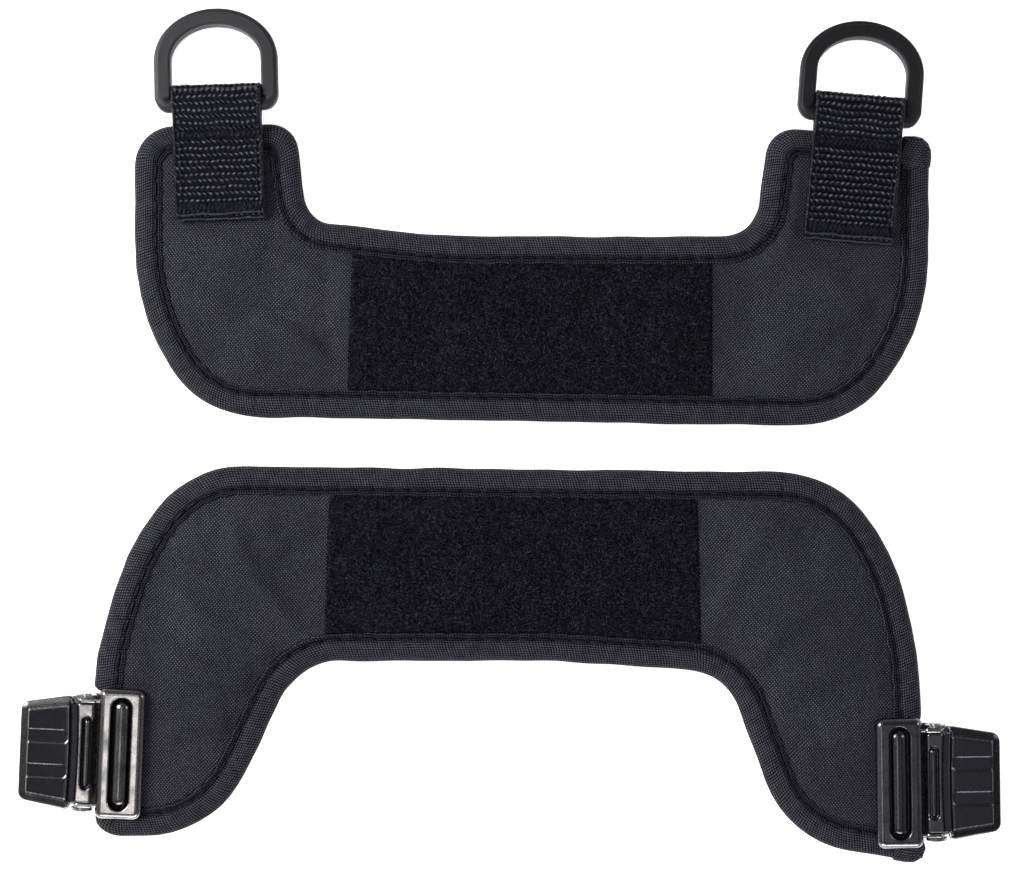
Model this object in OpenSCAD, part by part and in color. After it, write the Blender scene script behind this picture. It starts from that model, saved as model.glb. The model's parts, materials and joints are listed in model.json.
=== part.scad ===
// A pair of padded, bound fabric bands lying flat.
// The upper band carries two D-rings on webbing loops, the lower band two lever clips.
// +X runs along the bands, +Y towards the rings and +Z up from the surface they lie on.

/* [Padded bands] */
// Thickness of a finished band
band_t = 5; // [4:0.5:7]
// Thickness of the binding tape
tape_t = 0.5; // [0.4:0.1:0.6]
// Thickness of the face and back fabric
fabric_t = 0.5; // [0.4:0.1:0.8]
// Width of binding seen on the face
binding_w = 7.8; // [7:0.2:9]
// Distance from the edge to the binding stitches
seam_inset = 6.2; // [5.6:0.2:6.6]
// Height of the loop patch above the face fabric
patch_t = 1.2; // [0.8:0.2:2]

/* [Upper band] */
// Left edge
upper_left = -105; // [-108:0.5:-103]
// Right edge
upper_right = 116.6; // [115:0.2:119]
// Top of the left lobe
lobe_top = 87.2; // [85:0.2:89]
// Bottom of the bay between the lobes
bay_floor = 56; // [52:0.5:58]
// Lower edge, at its left end
upper_foot = 6; // [4:0.5:8]

/* [Lower band] */
// Left edge
lower_left = -117.2; // [-119:0.2:-115]
// Right edge
lower_right = 115.9; // [114:0.1:118]
// Top edge, at its left end
crown_top = -7.8; // [-9:0.2:-6]
// Roof of the arch between the legs
arch_roof = -62.4; // [-66:0.2:-60]
// Bottom of the left leg
leg_foot = -111.3; // [-114:0.1:-109]
// Height of the lower band above the surface, where the clips hold it up
lower_lift = 1; // [1:0.1:1.5]

/* [Rings and webbing] */
// Width of the webbing
webbing_w = 25; // [24:0.5:25]
// Thickness of the webbing
webbing_t = 1.4; // [1.2:0.1:1.5]
// Length of webbing sewn to the face on the left
left_sewn_l = 24.9; // [20:0.1:28]
// Length of webbing sewn to the face on the right
right_sewn_l = 28.4; // [20:0.1:30]
// Outer width of a ring
ring_w = 35; // [35:0.5:37]
// Outer height of a ring
ring_h = 29.4; // [28:0.2:32]
// Width of a ring's arms
ring_arm = 4.7; // [4:0.1:4.7]
// Thickness of a ring
ring_t = 4.4; // [4:0.1:4.4]

/* [Lever clips] */
// Length of the front jaw along the band's edge
jaw_l = 36.5; // [36:0.1:38]
// Width of the front jaw
jaw_w = 13.1; // [12:0.1:14]
// Length of the lever from the hinge line
lever_l = 21.3; // [20:0.1:24]
// Width of the lever at the hinge
lever_w = 32.4; // [32:0.1:32.4]
// Width of the lever at its tip
lever_tip_w = 27; // [24:0.5:29]
// Thickness of the sheet steel
sheet_t = 0.8; // [0.6:0.1:0.8]
// Radius of the hinge pin
pin_r = 1; // [0.8:0.1:1.2]

/* [Hidden] */
$fn = 48;

eps = 0.01;
arc_step = 8;
inner_gap = 0.1;
thread_w = 0.4;
thread_h = 0.15;

// Corners of the upper band, anticlockwise, each [x, y, radius]
upper_corners = [
    [-86.5, upper_foot, 29],
    [95.6, upper_foot - 3, 31],
    [upper_right + 0.3, 31.4, 56],
    [upper_right + 0.6, lobe_top - 3.8, 5],
    [72.5, lobe_top - 0.3, 8],
    [68.4, bay_floor + 0.6, 10],
    [50, bay_floor + 0.2, 90],
    [-20, bay_floor + 0.4, 90],
    [-56.6, bay_floor + 4.6, 8],
    [-60.2, lobe_top + 0.3, 7.5],
    [upper_left, lobe_top, 11.2],
    [upper_left, 35.5, 66]
];

// Corners of the lower band, anticlockwise, each [x, y, radius]
lower_corners = [
    [lower_left - 0.3, leg_foot, 8.6],
    [-82.4, leg_foot, 31],
    [-59.1, arch_roof, 19],
    [10, arch_roof, 90],
    [60, arch_roof - 3, 17],
    [77.6, -112.5, 30],
    [lower_right + 0.3, -119.1, 4],
    [114.1, -60, 80],
    [107.2, -31.6, 60],
    [89.5, crown_top - 2, 30],
    [-89.2, crown_top, 31],
    [-106, -29.1, 60],
    [-115.7, -60, 70]
];

// Loop patches, each as a quadrilateral that reaches past the binding
upper_patch = [[-45.8, 2], [56.4, 2], [56.4, 58], [-43.8, 58]];
lower_patch = [[-52, -66], [53.4, -66], [52, -6], [-50, -6]];

// Overlapped ends of the binding, each [low corner, high corner]
upper_tab = [[109.2, 71.4], [118.5, 82]];
lower_tab = [[107.2, -119.4], [116.6, -115.2]];
tab_t = 0.5;
tab_r = 1;

// Places: [x, y, direction in degrees of the outward side]
left_ring_at = [-81.7, 94.6, 92];
right_ring_at = [97.3, 91.8, 85];
left_clip_at = [-115.1, -87.8, 177.6];
right_clip_at = [115.1, -96.1, 0.8];

// Webbing loop round a ring's bar, measured outwards from the centre of the fold
bar_z = 5.8;
bar_r = ring_t / 2;
left_bar_back = 1.8;
right_bar_back = 2.5;
loop_gap_r = bar_r + 0.3;
loop_r = loop_gap_r + webbing_t;
pad_edge = -7.6;
webbing_seat = band_t + thread_h + 0.05;
webbing_top = webbing_seat + 2 * webbing_t;
under_layer = 1;
ring_droop = 7.6;

// Clip, measured outwards from its hinge line
band_top = lower_lift + band_t;
play = 0.3;
back_t = lower_lift - play;
clip_top = 8.3;
pin_u = 3.6;
pin_z = 5.4;
roll_r = clip_top - pin_z;
pin_play = 0.05;
jaw_edge = -0.2;
jaw_z = band_top + play;
lever_skirt = 1.6;
roll_v = lever_w / 2 - 2 * (sheet_t + play) - 0.1;
tab_v = roll_v + play;
ear_v = tab_v + sheet_t + play;
pin_half = ear_v + sheet_t;
head_t = 0.3;
ear_leg = 4;
straight_u = 5.6;
notch_u = -1;
notch_v = pin_half + head_t + play;
slot_u = 8.4;
slot_w = 5.4;
slot_l = 25.8;
back_tip = 15.4;
back_inner = -12.5;
platform_u = [8.6, 20.2];
platform_w = [25.6, 22.5];
platform_h = 0.5;
flute_w = 4;
flute_v = 4.9;

function unit(v) = v / norm(v);
function xy(c) = [c.x, c.y];
function before(c, i) = xy(c[(i + len(c) - 1) % len(c)]);
function after(c, i) = xy(c[(i + 1) % len(c)]);
function turn(a, b) = a.x * b.y - a.y * b.x;

// The corner list moved inwards by d
function inset(c, d) = [
    for (i = [0 : len(c) - 1])
        let (
            p = xy(c[i]),
            a = unit(p - before(c, i)),
            b = unit(after(c, i) - p),
            na = [-a.y, a.x],
            nb = [-b.y, b.x],
            q = p + d * (na + nb) / (1 + na * nb),
            r = turn(a, b) > 0 ? c[i].z - d : c[i].z + d
        )
        [q.x, q.y, max(r, 0)]
];

// Points of the arc that rounds corner i
function arc(c, i) =
    let (
        p = xy(c[i]),
        r = c[i].z,
        a = unit(before(c, i) - p),
        b = unit(after(c, i) - p),
        half = acos(a * b) / 2,
        q = p + unit(a + b) * r / sin(half),
        s = p + a * r / tan(half) - q,
        sweep = sign(turn(-a, b)) * (180 - 2 * half),
        start = atan2(s.y, s.x),
        n = ceil(abs(sweep) / arc_step)
    )
    r < 0.1 ? [p] : [for (k = [0 : n]) q + r * [cos(start + sweep * k / n), sin(start + sweep * k / n)]];

function rounded(c) = [for (i = [0 : len(c) - 1]) each arc(c, i)];

// A slab of the outline, inset by d, between two heights
module slab(corners, d, low, high) {
    translate([0, 0, low])
        linear_extrude(high - low)
            polygon(rounded(inset(corners, d)));
}

module at(place) {
    translate([place.x, place.y, 0])
        rotate([0, 0, place.z])
            children();
}

// Room for the ears, pin and lever where a clip grips the band's edge
module clip_notches() {
    for (place = [left_clip_at, right_clip_at])
        at(place)
            translate([notch_u, -notch_v, 0])
                cube([20, 2 * notch_v, band_top + 1]);
}

module layer(corners, base, low, high) {
    slab(corners, tape_t + inner_gap, base + low, base + high);
}

module face(corners, base) {
    layer(corners, base, band_t - tape_t - fabric_t, band_t - tape_t);
}

module foam(corners, base) {
    layer(corners, base, tape_t + fabric_t, band_t - tape_t - fabric_t);
}

module back(corners, base) {
    layer(corners, base, tape_t, tape_t + fabric_t);
}

module binding(corners, base) {
    difference() {
        slab(corners, 0, base, base + band_t);
        slab(corners, tape_t, base + tape_t, base + band_t - tape_t);
        slab(corners, binding_w, base - 1, base + band_t + 1);
    }
}

module seam(corners, base) {
    difference() {
        slab(corners, seam_inset - thread_w / 2, base + band_t, base + band_t + thread_h);
        slab(corners, seam_inset + thread_w / 2, base, base + band_t + 1);
    }
}

module loop_patch(corners, patch, base) {
    low = base + band_t - tape_t;
    intersection() {
        slab(corners, binding_w + inner_gap, low, low + patch_t);
        translate([0, 0, low - 1])
            linear_extrude(patch_t + 2)
                polygon(patch);
    }
}

module binding_tab(corners, tab, base) {
    size = tab[1] - tab[0];
    box = [
        [tab[0].x, tab[0].y, tab_r],
        [tab[1].x, tab[0].y, tab_r],
        [tab[1].x, tab[1].y, tab_r],
        [tab[0].x, tab[1].y, tab_r]
    ];
    difference() {
        slab(box, 0, base, base + band_t + tab_t);
        slab(corners, 0, base - 1, base + band_t + thread_h);
    }
}

module upper_face() {
    color([0.16, 0.17, 0.19]) face(upper_corners, 0);
}

module upper_foam() {
    color([0.6, 0.6, 0.58]) foam(upper_corners, 0);
}

module upper_back() {
    color([0.14, 0.15, 0.17]) back(upper_corners, 0);
}

module upper_binding() {
    color([0.1, 0.1, 0.11]) binding(upper_corners, 0);
}

module upper_seam() {
    color([0.07, 0.07, 0.08]) seam(upper_corners, 0);
}

module upper_loop_patch() {
    color([0.05, 0.05, 0.05]) loop_patch(upper_corners, upper_patch, 0);
}

module upper_binding_tab() {
    color([0.11, 0.11, 0.12]) binding_tab(upper_corners, upper_tab, 0);
}

module lower_face() {
    color([0.16, 0.17, 0.19])
        difference() {
            face(lower_corners, lower_lift);
            clip_notches();
        }
}

module lower_foam() {
    color([0.6, 0.6, 0.58])
        difference() {
            foam(lower_corners, lower_lift);
            clip_notches();
        }
}

module lower_back() {
    color([0.14, 0.15, 0.17])
        difference() {
            back(lower_corners, lower_lift);
            clip_notches();
        }
}

module lower_binding() {
    color([0.1, 0.1, 0.11])
        difference() {
            binding(lower_corners, lower_lift);
            clip_notches();
        }
}

module lower_seam() {
    color([0.07, 0.07, 0.08]) seam(lower_corners, lower_lift);
}

module lower_loop_patch() {
    color([0.05, 0.05, 0.05]) loop_patch(lower_corners, lower_patch, lower_lift);
}

module lower_binding_tab() {
    color([0.11, 0.11, 0.12]) binding_tab(lower_corners, lower_tab, lower_lift);
}

// Webbing folded round the ring's bar, both layers sewn down behind the fold
module ring_webbing(sewn_l, bar_back) {
    sewn_end = pad_edge - sewn_l;
    fold = loop_r - 0.3;
    side = [
        [sewn_end - under_layer, webbing_seat],
        [pad_edge + 0.2, webbing_seat],
        [-1.5, bar_z - fold],
        [-1.5, bar_z + fold],
        [pad_edge - 1.4, webbing_top],
        [sewn_end, webbing_top],
        [sewn_end, webbing_seat + webbing_t],
        [sewn_end - under_layer, webbing_seat + webbing_t]
    ];
    rotate([90, 0, 0])
        translate([0, 0, -webbing_w / 2])
            difference() {
                union() {
                    linear_extrude(webbing_w) polygon(side);
                    translate([0, bar_z, 0]) cylinder(r = loop_r, h = webbing_w);
                }
                for (back = [0, bar_back])
                    translate([-back, bar_z, -1]) cylinder(r = loop_gap_r, h = webbing_w + 2);
                translate([-bar_back, bar_z - loop_gap_r, -1])
                    cube([bar_back, 2 * loop_gap_r, webbing_w + 2]);
            }
}

// A stitched line down each side and a dense tack across the end
module webbing_stitches(sewn_l) {
    side_v = webbing_w / 2 - 2;
    tack_w = 1.2;
    run = [pad_edge - sewn_l + 0.6, pad_edge - 1.8];
    translate([0, 0, webbing_top]) {
        for (v = [-side_v, side_v])
            translate([run[0], v - thread_w / 2, 0])
                cube([run[1] - run[0], thread_w, thread_h]);
        translate([run[0], -side_v, 0])
            cube([tack_w, 2 * side_v, thread_h]);
    }
}

module left_ring_webbing() {
    color([0.13, 0.13, 0.14]) at(left_ring_at) ring_webbing(left_sewn_l, left_bar_back);
}

module right_ring_webbing() {
    color([0.13, 0.13, 0.14]) at(right_ring_at) ring_webbing(right_sewn_l, right_bar_back);
}

module left_webbing_stitches() {
    color([0.06, 0.06, 0.06]) at(left_ring_at) webbing_stitches(left_sewn_l);
}

module right_webbing_stitches() {
    color([0.06, 0.06, 0.06]) at(right_ring_at) webbing_stitches(right_sewn_l);
}

// Outer edge of the ring's flattened arch: two corner arcs joined by a crown arc.
// half is the half width, rise the arch's height and r the corner radius.
function arch(half, rise, r, base) =
    let (
        a = half - r,
        h = rise - r,
        k = (a * a - h * h) / (2 * h),
        crown = rise + k,
        split = atan2(k, a)
    )
    concat(
        [for (t = [0 : 4]) [base + r * sin(split * t / 4), -a - r * cos(split * t / 4)]],
        [for (t = [1 : 11])
            let (u = -90 + split + (180 - 2 * split) * t / 12)
            [base - k + crown * cos(u), crown * sin(u)]],
        [for (t = [4 : -1 : 0]) [base + r * sin(split * t / 4), a + r * cos(split * t / 4)]]
    );

module ring(bar_back) {
    half = ring_w / 2;
    rise = 12.6;
    corner = 9;
    arch_base = ring_h - bar_r - rise;
    outer = arch(half, rise, corner, arch_base);
    inner = arch(half - ring_arm, rise - ring_arm, corner - ring_arm, arch_base);
    translate([-bar_back, 0, bar_z])
        rotate([0, ring_droop, 0]) {
            translate([0, 0, -ring_t / 2])
                linear_extrude(ring_t)
                    difference() {
                        polygon(concat([[0, -half]], outer, [[0, half]]));
                        polygon(concat([[-1, ring_arm - half]], inner, [[-1, half - ring_arm]]));
                    }
            rotate([90, 0, 0]) cylinder(r = bar_r, h = ring_w, center = true);
        }
}

module left_ring() {
    color([0.08, 0.08, 0.09]) at(left_ring_at) ring(left_bar_back);
}

module right_ring() {
    color([0.08, 0.08, 0.09]) at(right_ring_at) ring(right_bar_back);
}

// A cylinder along the hinge line, from one side to the other
module across(r, low, high) {
    translate([pin_u, 0, pin_z])
        rotate([-90, 0, 0])
            translate([0, 0, low])
                cylinder(r = r, h = high - low);
}

module both_ends() {
    children();
    mirror([0, 1, 0]) children();
}

// A slot with round ends, centred on u, cut down from the top
module obround_cut(u, w, l, depth) {
    translate([u, 0, clip_top - depth]) {
        for (v = [-1, 1])
            translate([0, v * (l - w) / 2, 0]) cylinder(d = w, h = depth + 1);
        translate([-w / 2, (w - l) / 2, 0]) cube([w, l - w, depth + 1]);
    }
}

// A round-ended rib lying in a slot
module rib(u, r, l, z) {
    translate([u, 0, z]) {
        rotate([90, 0, 0]) cylinder(r = r, h = l - 2 * r, center = true);
        for (v = [-1, 1])
            translate([0, v * (l / 2 - r), 0]) sphere(r = r);
    }
}

// Back plate with a strap slot, and an ear at each end that carries the pin
module clip_back() {
    half = lever_w / 2 - 0.7;
    tip = lever_tip_w / 2 + 0.4;
    plate = [
        [back_inner, -half, 2],
        [straight_u, -half, 5],
        [back_tip, -tip, 1],
        [back_tip, tip, 1],
        [straight_u, half, 5],
        [back_inner, half, 2]
    ];
    difference() {
        union() {
            slab(plate, 0, 0, back_t);
            both_ends() {
                translate([0, half - 1, 0])
                    cube([pin_u + ear_leg / 2, pin_half - half + 1, back_t]);
                translate([pin_u - ear_leg / 2, ear_v, 0]) cube([ear_leg, sheet_t, pin_z]);
                across(roll_r, ear_v, ear_v + sheet_t);
            }
        }
        translate([slot_u, -slot_l / 2, -1]) cube([slot_w, slot_l, back_t + 2]);
        across(pin_r, -pin_half - 1, pin_half + 1);
    }
}

// Front jaw: a plate with turned-down edges and a knuckle at each end that turns on the pin
module clip_jaw() {
    low = jaw_edge - jaw_w;
    edge = jaw_l / 2;
    plate = [
        [low, -edge, 2],
        [jaw_edge, -edge, 2],
        [jaw_edge, edge, 2],
        [low, edge, 2]
    ];
    arm = [
        [jaw_edge - sheet_t, jaw_z],
        [jaw_edge - sheet_t, clip_top - sheet_t],
        [pin_u - roll_r / 2, clip_top - sheet_t],
        [pin_u, pin_z],
        [pin_u - roll_r, pin_z]
    ];
    difference() {
        union() {
            difference() {
                slab(plate, 0, jaw_z, clip_top);
                slab(plate, sheet_t, jaw_z - 1, clip_top - sheet_t);
                obround_cut(jaw_edge - jaw_w / 2, 6.4, 32, 0.4);
            }
            rib(jaw_edge - jaw_w / 2, 0.9, 27, clip_top - 0.3);
            both_ends() {
                translate([0, tab_v + sheet_t, 0])
                    rotate([90, 0, 0])
                        linear_extrude(sheet_t) polygon(arm);
                across(roll_r, tab_v, tab_v + sheet_t);
            }
        }
        across(pin_r + pin_play, -pin_half - 1, pin_half + 1);
    }
}

// Lever: a tapered plate rolled over the pin between the knuckles of the jaw and back plate,
// with turned-down edges and a fluted platform
module clip_lever() {
    half = lever_w / 2;
    tip = lever_tip_w / 2;
    room_u = pin_u + roll_r + play;
    plate = [
        [pin_u, -half, 0],
        [straight_u, -half, 2],
        [lever_l, -tip, 2.5],
        [lever_l, tip, 2.5],
        [straight_u, half, 2],
        [pin_u, half, 0]
    ];
    bands = [
        [platform_u[0], -platform_w[0] / 2, 0.8],
        [platform_u[1], -platform_w[1] / 2, 0.8],
        [platform_u[1], platform_w[1] / 2, 0.8],
        [platform_u[0], platform_w[0] / 2, 0.8]
    ];
    difference() {
        union() {
            difference() {
                slab(plate, 0, clip_top - sheet_t - lever_skirt, clip_top);
                translate([pin_u - 1, sheet_t - roll_v, pin_z - 1])
                    cube([room_u - pin_u + 1, 2 * (roll_v - sheet_t), clip_top - sheet_t - pin_z + 1]);
                both_ends()
                    translate([0, roll_v, 0]) cube([room_u, half, clip_top + 1]);
                slab(plate, sheet_t, pin_z - 1, clip_top - sheet_t);
                obround_cut(5, 2.4, 20.7, 0.4);
            }
            rib(5, 0.5, 19, clip_top - 0.4);
            difference() {
                across(roll_r, -roll_v, roll_v);
                across(roll_r - sheet_t, sheet_t - roll_v, roll_v - sheet_t);
                translate([pin_u, sheet_t - roll_v, pin_z - roll_r - 1])
                    cube([roll_r + 1, 2 * (roll_v - sheet_t), 2 * roll_r + 2]);
                translate([pin_u - roll_r - 1, sheet_t - roll_v, pin_z - roll_r - 1])
                    cube([roll_r + 2, 2 * (roll_v - sheet_t), roll_r]);
            }
            difference() {
                slab(bands, 0, clip_top - eps, clip_top + platform_h);
                both_ends()
                    translate([platform_u[0] - 1, flute_v - flute_w / 2, clip_top])
                        cube([20, flute_w, 2]);
            }
        }
        across(pin_r + pin_play, -half - 1, half + 1);
    }
}

module clip_pin() {
    head_r = pin_r + 0.5;
    across(pin_r, -pin_half, pin_half);
    across(head_r, pin_half, pin_half + head_t);
    across(head_r, -pin_half - head_t, -pin_half);
}

module left_clip_back() {
    color([0.2, 0.2, 0.22]) at(left_clip_at) clip_back();
}

module left_clip_jaw() {
    color([0.35, 0.36, 0.4]) at(left_clip_at) clip_jaw();
}

module left_clip_lever() {
    color([0.4, 0.42, 0.46]) at(left_clip_at) clip_lever();
}

module left_clip_pin() {
    color([0.5, 0.5, 0.52]) at(left_clip_at) clip_pin();
}

module right_clip_back() {
    color([0.2, 0.2, 0.22]) at(right_clip_at) clip_back();
}

module right_clip_jaw() {
    color([0.25, 0.26, 0.28]) at(right_clip_at) clip_jaw();
}

module right_clip_lever() {
    color([0.28, 0.29, 0.32]) at(right_clip_at) clip_lever();
}

module right_clip_pin() {
    color([0.5, 0.5, 0.52]) at(right_clip_at) clip_pin();
}

upper_face();
upper_foam();
upper_back();
upper_binding();
upper_seam();
upper_loop_patch();
upper_binding_tab();
left_ring_webbing();
right_ring_webbing();
left_webbing_stitches();
right_webbing_stitches();
left_ring();
right_ring();
lower_face();
lower_foam();
lower_back();
lower_binding();
lower_seam();
lower_loop_patch();
lower_binding_tab();
left_clip_back();
left_clip_jaw();
left_clip_lever();
left_clip_pin();
right_clip_back();
right_clip_jaw();
right_clip_lever();
right_clip_pin();
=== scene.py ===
"""A pair of padded, bound fabric bands: one with rings on webbing, one with lever clips.

Lengths inside the script are millimetres in the frame's own axes. mesh_piece() turns them
into metres. Places come from the frame's nodes and joints.
"""
import json
import math

import bpy
import numpy as np
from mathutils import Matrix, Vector, bvhtree, geometry, kdtree


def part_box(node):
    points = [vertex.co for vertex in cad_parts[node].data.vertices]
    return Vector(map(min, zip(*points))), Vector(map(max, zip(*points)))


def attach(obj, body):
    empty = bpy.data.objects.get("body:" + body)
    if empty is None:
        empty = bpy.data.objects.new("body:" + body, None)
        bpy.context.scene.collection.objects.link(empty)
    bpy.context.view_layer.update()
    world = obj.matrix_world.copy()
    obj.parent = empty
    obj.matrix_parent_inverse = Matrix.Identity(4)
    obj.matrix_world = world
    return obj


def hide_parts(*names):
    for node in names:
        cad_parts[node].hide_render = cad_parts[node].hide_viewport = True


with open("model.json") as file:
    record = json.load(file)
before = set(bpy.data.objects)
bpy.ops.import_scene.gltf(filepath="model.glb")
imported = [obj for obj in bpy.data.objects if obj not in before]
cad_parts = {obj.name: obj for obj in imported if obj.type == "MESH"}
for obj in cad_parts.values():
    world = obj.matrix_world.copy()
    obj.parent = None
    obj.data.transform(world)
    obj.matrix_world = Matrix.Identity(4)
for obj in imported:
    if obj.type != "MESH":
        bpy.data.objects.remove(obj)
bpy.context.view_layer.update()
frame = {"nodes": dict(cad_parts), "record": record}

MM = 0.001
TAU = 2 * math.pi
PI = math.pi

# Bands
SEAM_INSET = 6.0
STITCH_LINE = 6.2
STITCH_PITCH = 4.9
THREAD_R = 0.21
BINDING_W = 7.8
FACE_TUCK = 7.3
FACE_LOW = 4.42
BAND_T = 5.0
PUFF = 0.8
PUFF_RUN = 6.0
FOLD_GAIN = 4.2
NAP_PITCH = 0.66
TAB_REACH = 12.0
CLOTH_STEP = 2.2
CLOTH_SCALE = 10.0
CLOTH_FRAMES = 24
CLOTH_CAP = 0.9
CLOTH_SPARE = 0.026

# Weaves
WEAVE_PITCH = 0.46
WEAVE_DRIFT = 1.6
TAPE_COLUMN = 0.76
TAPE_ROW = 0.64
TAPE_SKEW = 0.28
TAPE_DRIFT = 0.9
NYLON_TINT = (0.8, 0.84, 1.0, 1.0)

# Webbing and rings
WEBBING_W = 25.0
WEBBING_T = 1.4
BAR_BACK = {"left": 1.8, "right": 2.5}
SEWN = {"left": 24.9, "right": 28.4}
PAD_EDGE = -7.6
ROW_PITCH = 1.8
YARN_PITCH = 1.5
RING_W = 34.5
RING_H = 29.4
RING_ARM = 4.7
RING_ARCH = 14.6
RING_T = 4.4
RING_DROOP = math.radians(7.6)

# Clips, measured outwards from the line where the jaw meets the lever. A well is (centre,
# width, length), a bar (width, length), and an outline's corners are (u, v, radius).
PIN_U = 3.6
PIN_Z = 5.4
CHEEK_V = 12.9
KNUCKLE_V = 14.6
CLIP_TOP = 8.3
SQUEEZE_HALF = 17.9
SHEET_T = 0.8
# Painted light on the clips: painted shade on the turned-down rims, painted dark reflection over each
# clip's plates, and how much painted highlight runs along the lever platform's edges
FLANGE_PAINTED_SHADE = 0.72
PLATE_PAINTED_DARK = {"left": 0.0, "right": 0.78}
LEVER_EDGE_HIGHLIGHT = 0.45
TILT = 0.05
JAW_WELL = (-6.7, 6.0, 31.6)
JAW_BAR = (4.5, 29.6)
LEVER_WELL = (2.75, 3.0, 20.6)
LEVER_BAR = (1.4, 18.6)
FLUTES = (5.3, -4.35)
JAW_OUTLINE = [(-13.3, -18.25, 2.5), (-0.2, -18.25, 2.1), (-0.2, 18.25, 2.1), (-13.3, 18.25, 2.5)]
LEVER_OUTLINE = [
    (0.9, -13.9, 0.8), (6.8, -13.9, 0.5), (6.8, -16.0, 1.2), (21.3, -13.5, 2.6),
    (21.3, 13.5, 2.6), (6.8, 16.0, 1.2), (6.8, 13.9, 0.5), (0.9, 13.9, 0.8),
]


# ---------------------------------------------------------------- geometry helpers

def unit(v):
    return v / np.maximum(np.linalg.norm(v, axis=-1, keepdims=True), 1e-12)


def smoothstep(x, low, high):
    t = np.clip((np.asarray(x, float) - low) / (high - low), 0, 1)
    return t * t * (3 - 2 * t)


def bell(x, width):
    return np.exp(-(np.asarray(x, float) / width) ** 2)


def path_length(points):
    """Distance along a path to each of its points."""
    steps = np.linalg.norm(np.diff(points, axis=0), axis=1)
    return np.concatenate([[0], np.cumsum(steps)])


def at_length(t, s, points):
    """Points at the distances t along a path whose own points are at s."""
    return np.stack([np.interp(t, s, column) for column in points.T], 1)


def loop_tangent(loop):
    return unit(np.roll(loop, -1, 0) - np.roll(loop, 1, 0))


def loop_normal(loop):
    """Outward normals of an anticlockwise loop."""
    tangent = loop_tangent(loop)
    return np.stack([tangent[:, 1], -tangent[:, 0]], 1)


class Waves:
    """Smooth, repeatable noise: a sum of sine waves in random directions."""

    def __init__(self, seed, size, count=14):
        r = np.random.default_rng(seed)
        angle = r.uniform(0, TAU, count)
        k = TAU / (size * r.uniform(0.6, 1.7, count))
        self.k = np.stack([k * np.cos(angle), k * np.sin(angle)])
        self.phase = r.uniform(0, TAU, count)

    def __call__(self, x, y):
        p = np.stack([np.ravel(x), np.ravel(y)], 1)
        s = np.sin(p @ self.k + self.phase).sum(1) / math.sqrt(len(self.phase) / 2)
        return (s / 2).reshape(np.shape(x))


def mesh_piece(name, verts, faces, material, body, slot, replaces=(), uv=None, smooth=True):
    """A mesh from millimetre vertices that rides on a body. uv is one pair per vertex."""
    mesh = bpy.data.meshes.new(name)
    mesh.from_pydata((np.asarray(verts, float) * MM).tolist(), [], [list(map(int, f)) for f in faces])
    mesh.validate()
    mesh.update()
    if uv is not None:
        layer = mesh.uv_layers.new(name="UVMap")
        index = np.empty(len(mesh.loops), int)
        mesh.loops.foreach_get("vertex_index", index)
        layer.data.foreach_set("uv", np.asarray(uv, float)[index].ravel())
    mesh.polygons.foreach_set("use_smooth", [smooth] * len(mesh.polygons))
    mesh.materials.append(material)
    obj = bpy.data.objects.new(name, mesh)
    bpy.context.scene.collection.objects.link(obj)
    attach(obj, body)
    if replaces:
        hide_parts(*replaces)
    return obj


def grid_faces(rows, cols, wrap_rows=False, wrap_cols=False):
    """Quads over a grid of rows x cols vertices."""
    i = np.arange(rows if wrap_rows else rows - 1)
    j = np.arange(cols if wrap_cols else cols - 1)
    a, b = np.meshgrid(i, j, indexing="ij")
    a, b = a.ravel(), b.ravel()
    a2, b2 = (a + 1) % rows, (b + 1) % cols
    return np.stack([a * cols + b, a2 * cols + b, a2 * cols + b2, a * cols + b2], 1)


def node_loop(node):
    """The outer edge of a CAD node's top face, as anticlockwise points."""
    mesh = frame["nodes"][node].data
    co = np.array([v.co[:] for v in mesh.vertices]) / MM
    top = co[:, 2].max()
    key = [(round(p[0], 2), round(p[1], 2)) for p in co]
    seen = {}
    for poly in mesh.polygons:
        if all(abs(co[v][2] - top) < 0.01 for v in poly.vertices):
            ring = [key[v] for v in poly.vertices]
            for a, b in zip(ring, ring[1:] + ring[:1]):
                if (b, a) in seen:
                    del seen[(b, a)]
                else:
                    seen[(a, b)] = True
    following = dict(seen.keys())
    loops = []
    while following:
        start, here = following.popitem()
        loop = [start]
        while here != start:
            loop.append(here)
            here = following.pop(here)
        loops.append(np.array(loop))
    return max(loops, key=lambda p: np.ptp(p[:, 0]) * np.ptp(p[:, 1]))


def resample(loop, step):
    """A closed loop at even spacing."""
    p = np.vstack([loop, loop[:1]])
    s = path_length(p)
    n = int(round(s[-1] / step))
    return at_length(np.arange(n) * s[-1] / n, s, p)


def soften(values, sigma):
    """Closed-loop Gaussian smoothing, sigma in samples."""
    reach = int(4 * sigma) + 1
    w = np.exp(-0.5 * (np.arange(-reach, reach + 1) / sigma) ** 2)
    w /= w.sum()
    return sum(w[k + reach] * np.roll(values, k, axis=0) for k in range(-reach, reach + 1))


def ray_reach(points, directions, loop, least=0.5):
    """How far each ray goes before it crosses the loop."""
    a = loop[None]
    edge = (np.roll(loop, -1, 0) - loop)[None]
    p, d = points[:, None], directions[:, None]
    cross = d[..., 0] * edge[..., 1] - d[..., 1] * edge[..., 0]
    gap = a - p
    safe = np.where(np.abs(cross) < 1e-9, 1e-9, cross)
    t = (gap[..., 0] * edge[..., 1] - gap[..., 1] * edge[..., 0]) / safe
    k = (gap[..., 0] * d[..., 1] - gap[..., 1] * d[..., 0]) / safe
    hit = (k >= -0.01) & (k <= 1.01) & (t > least)
    return np.where(hit, t, 99.0).min(1)


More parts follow.
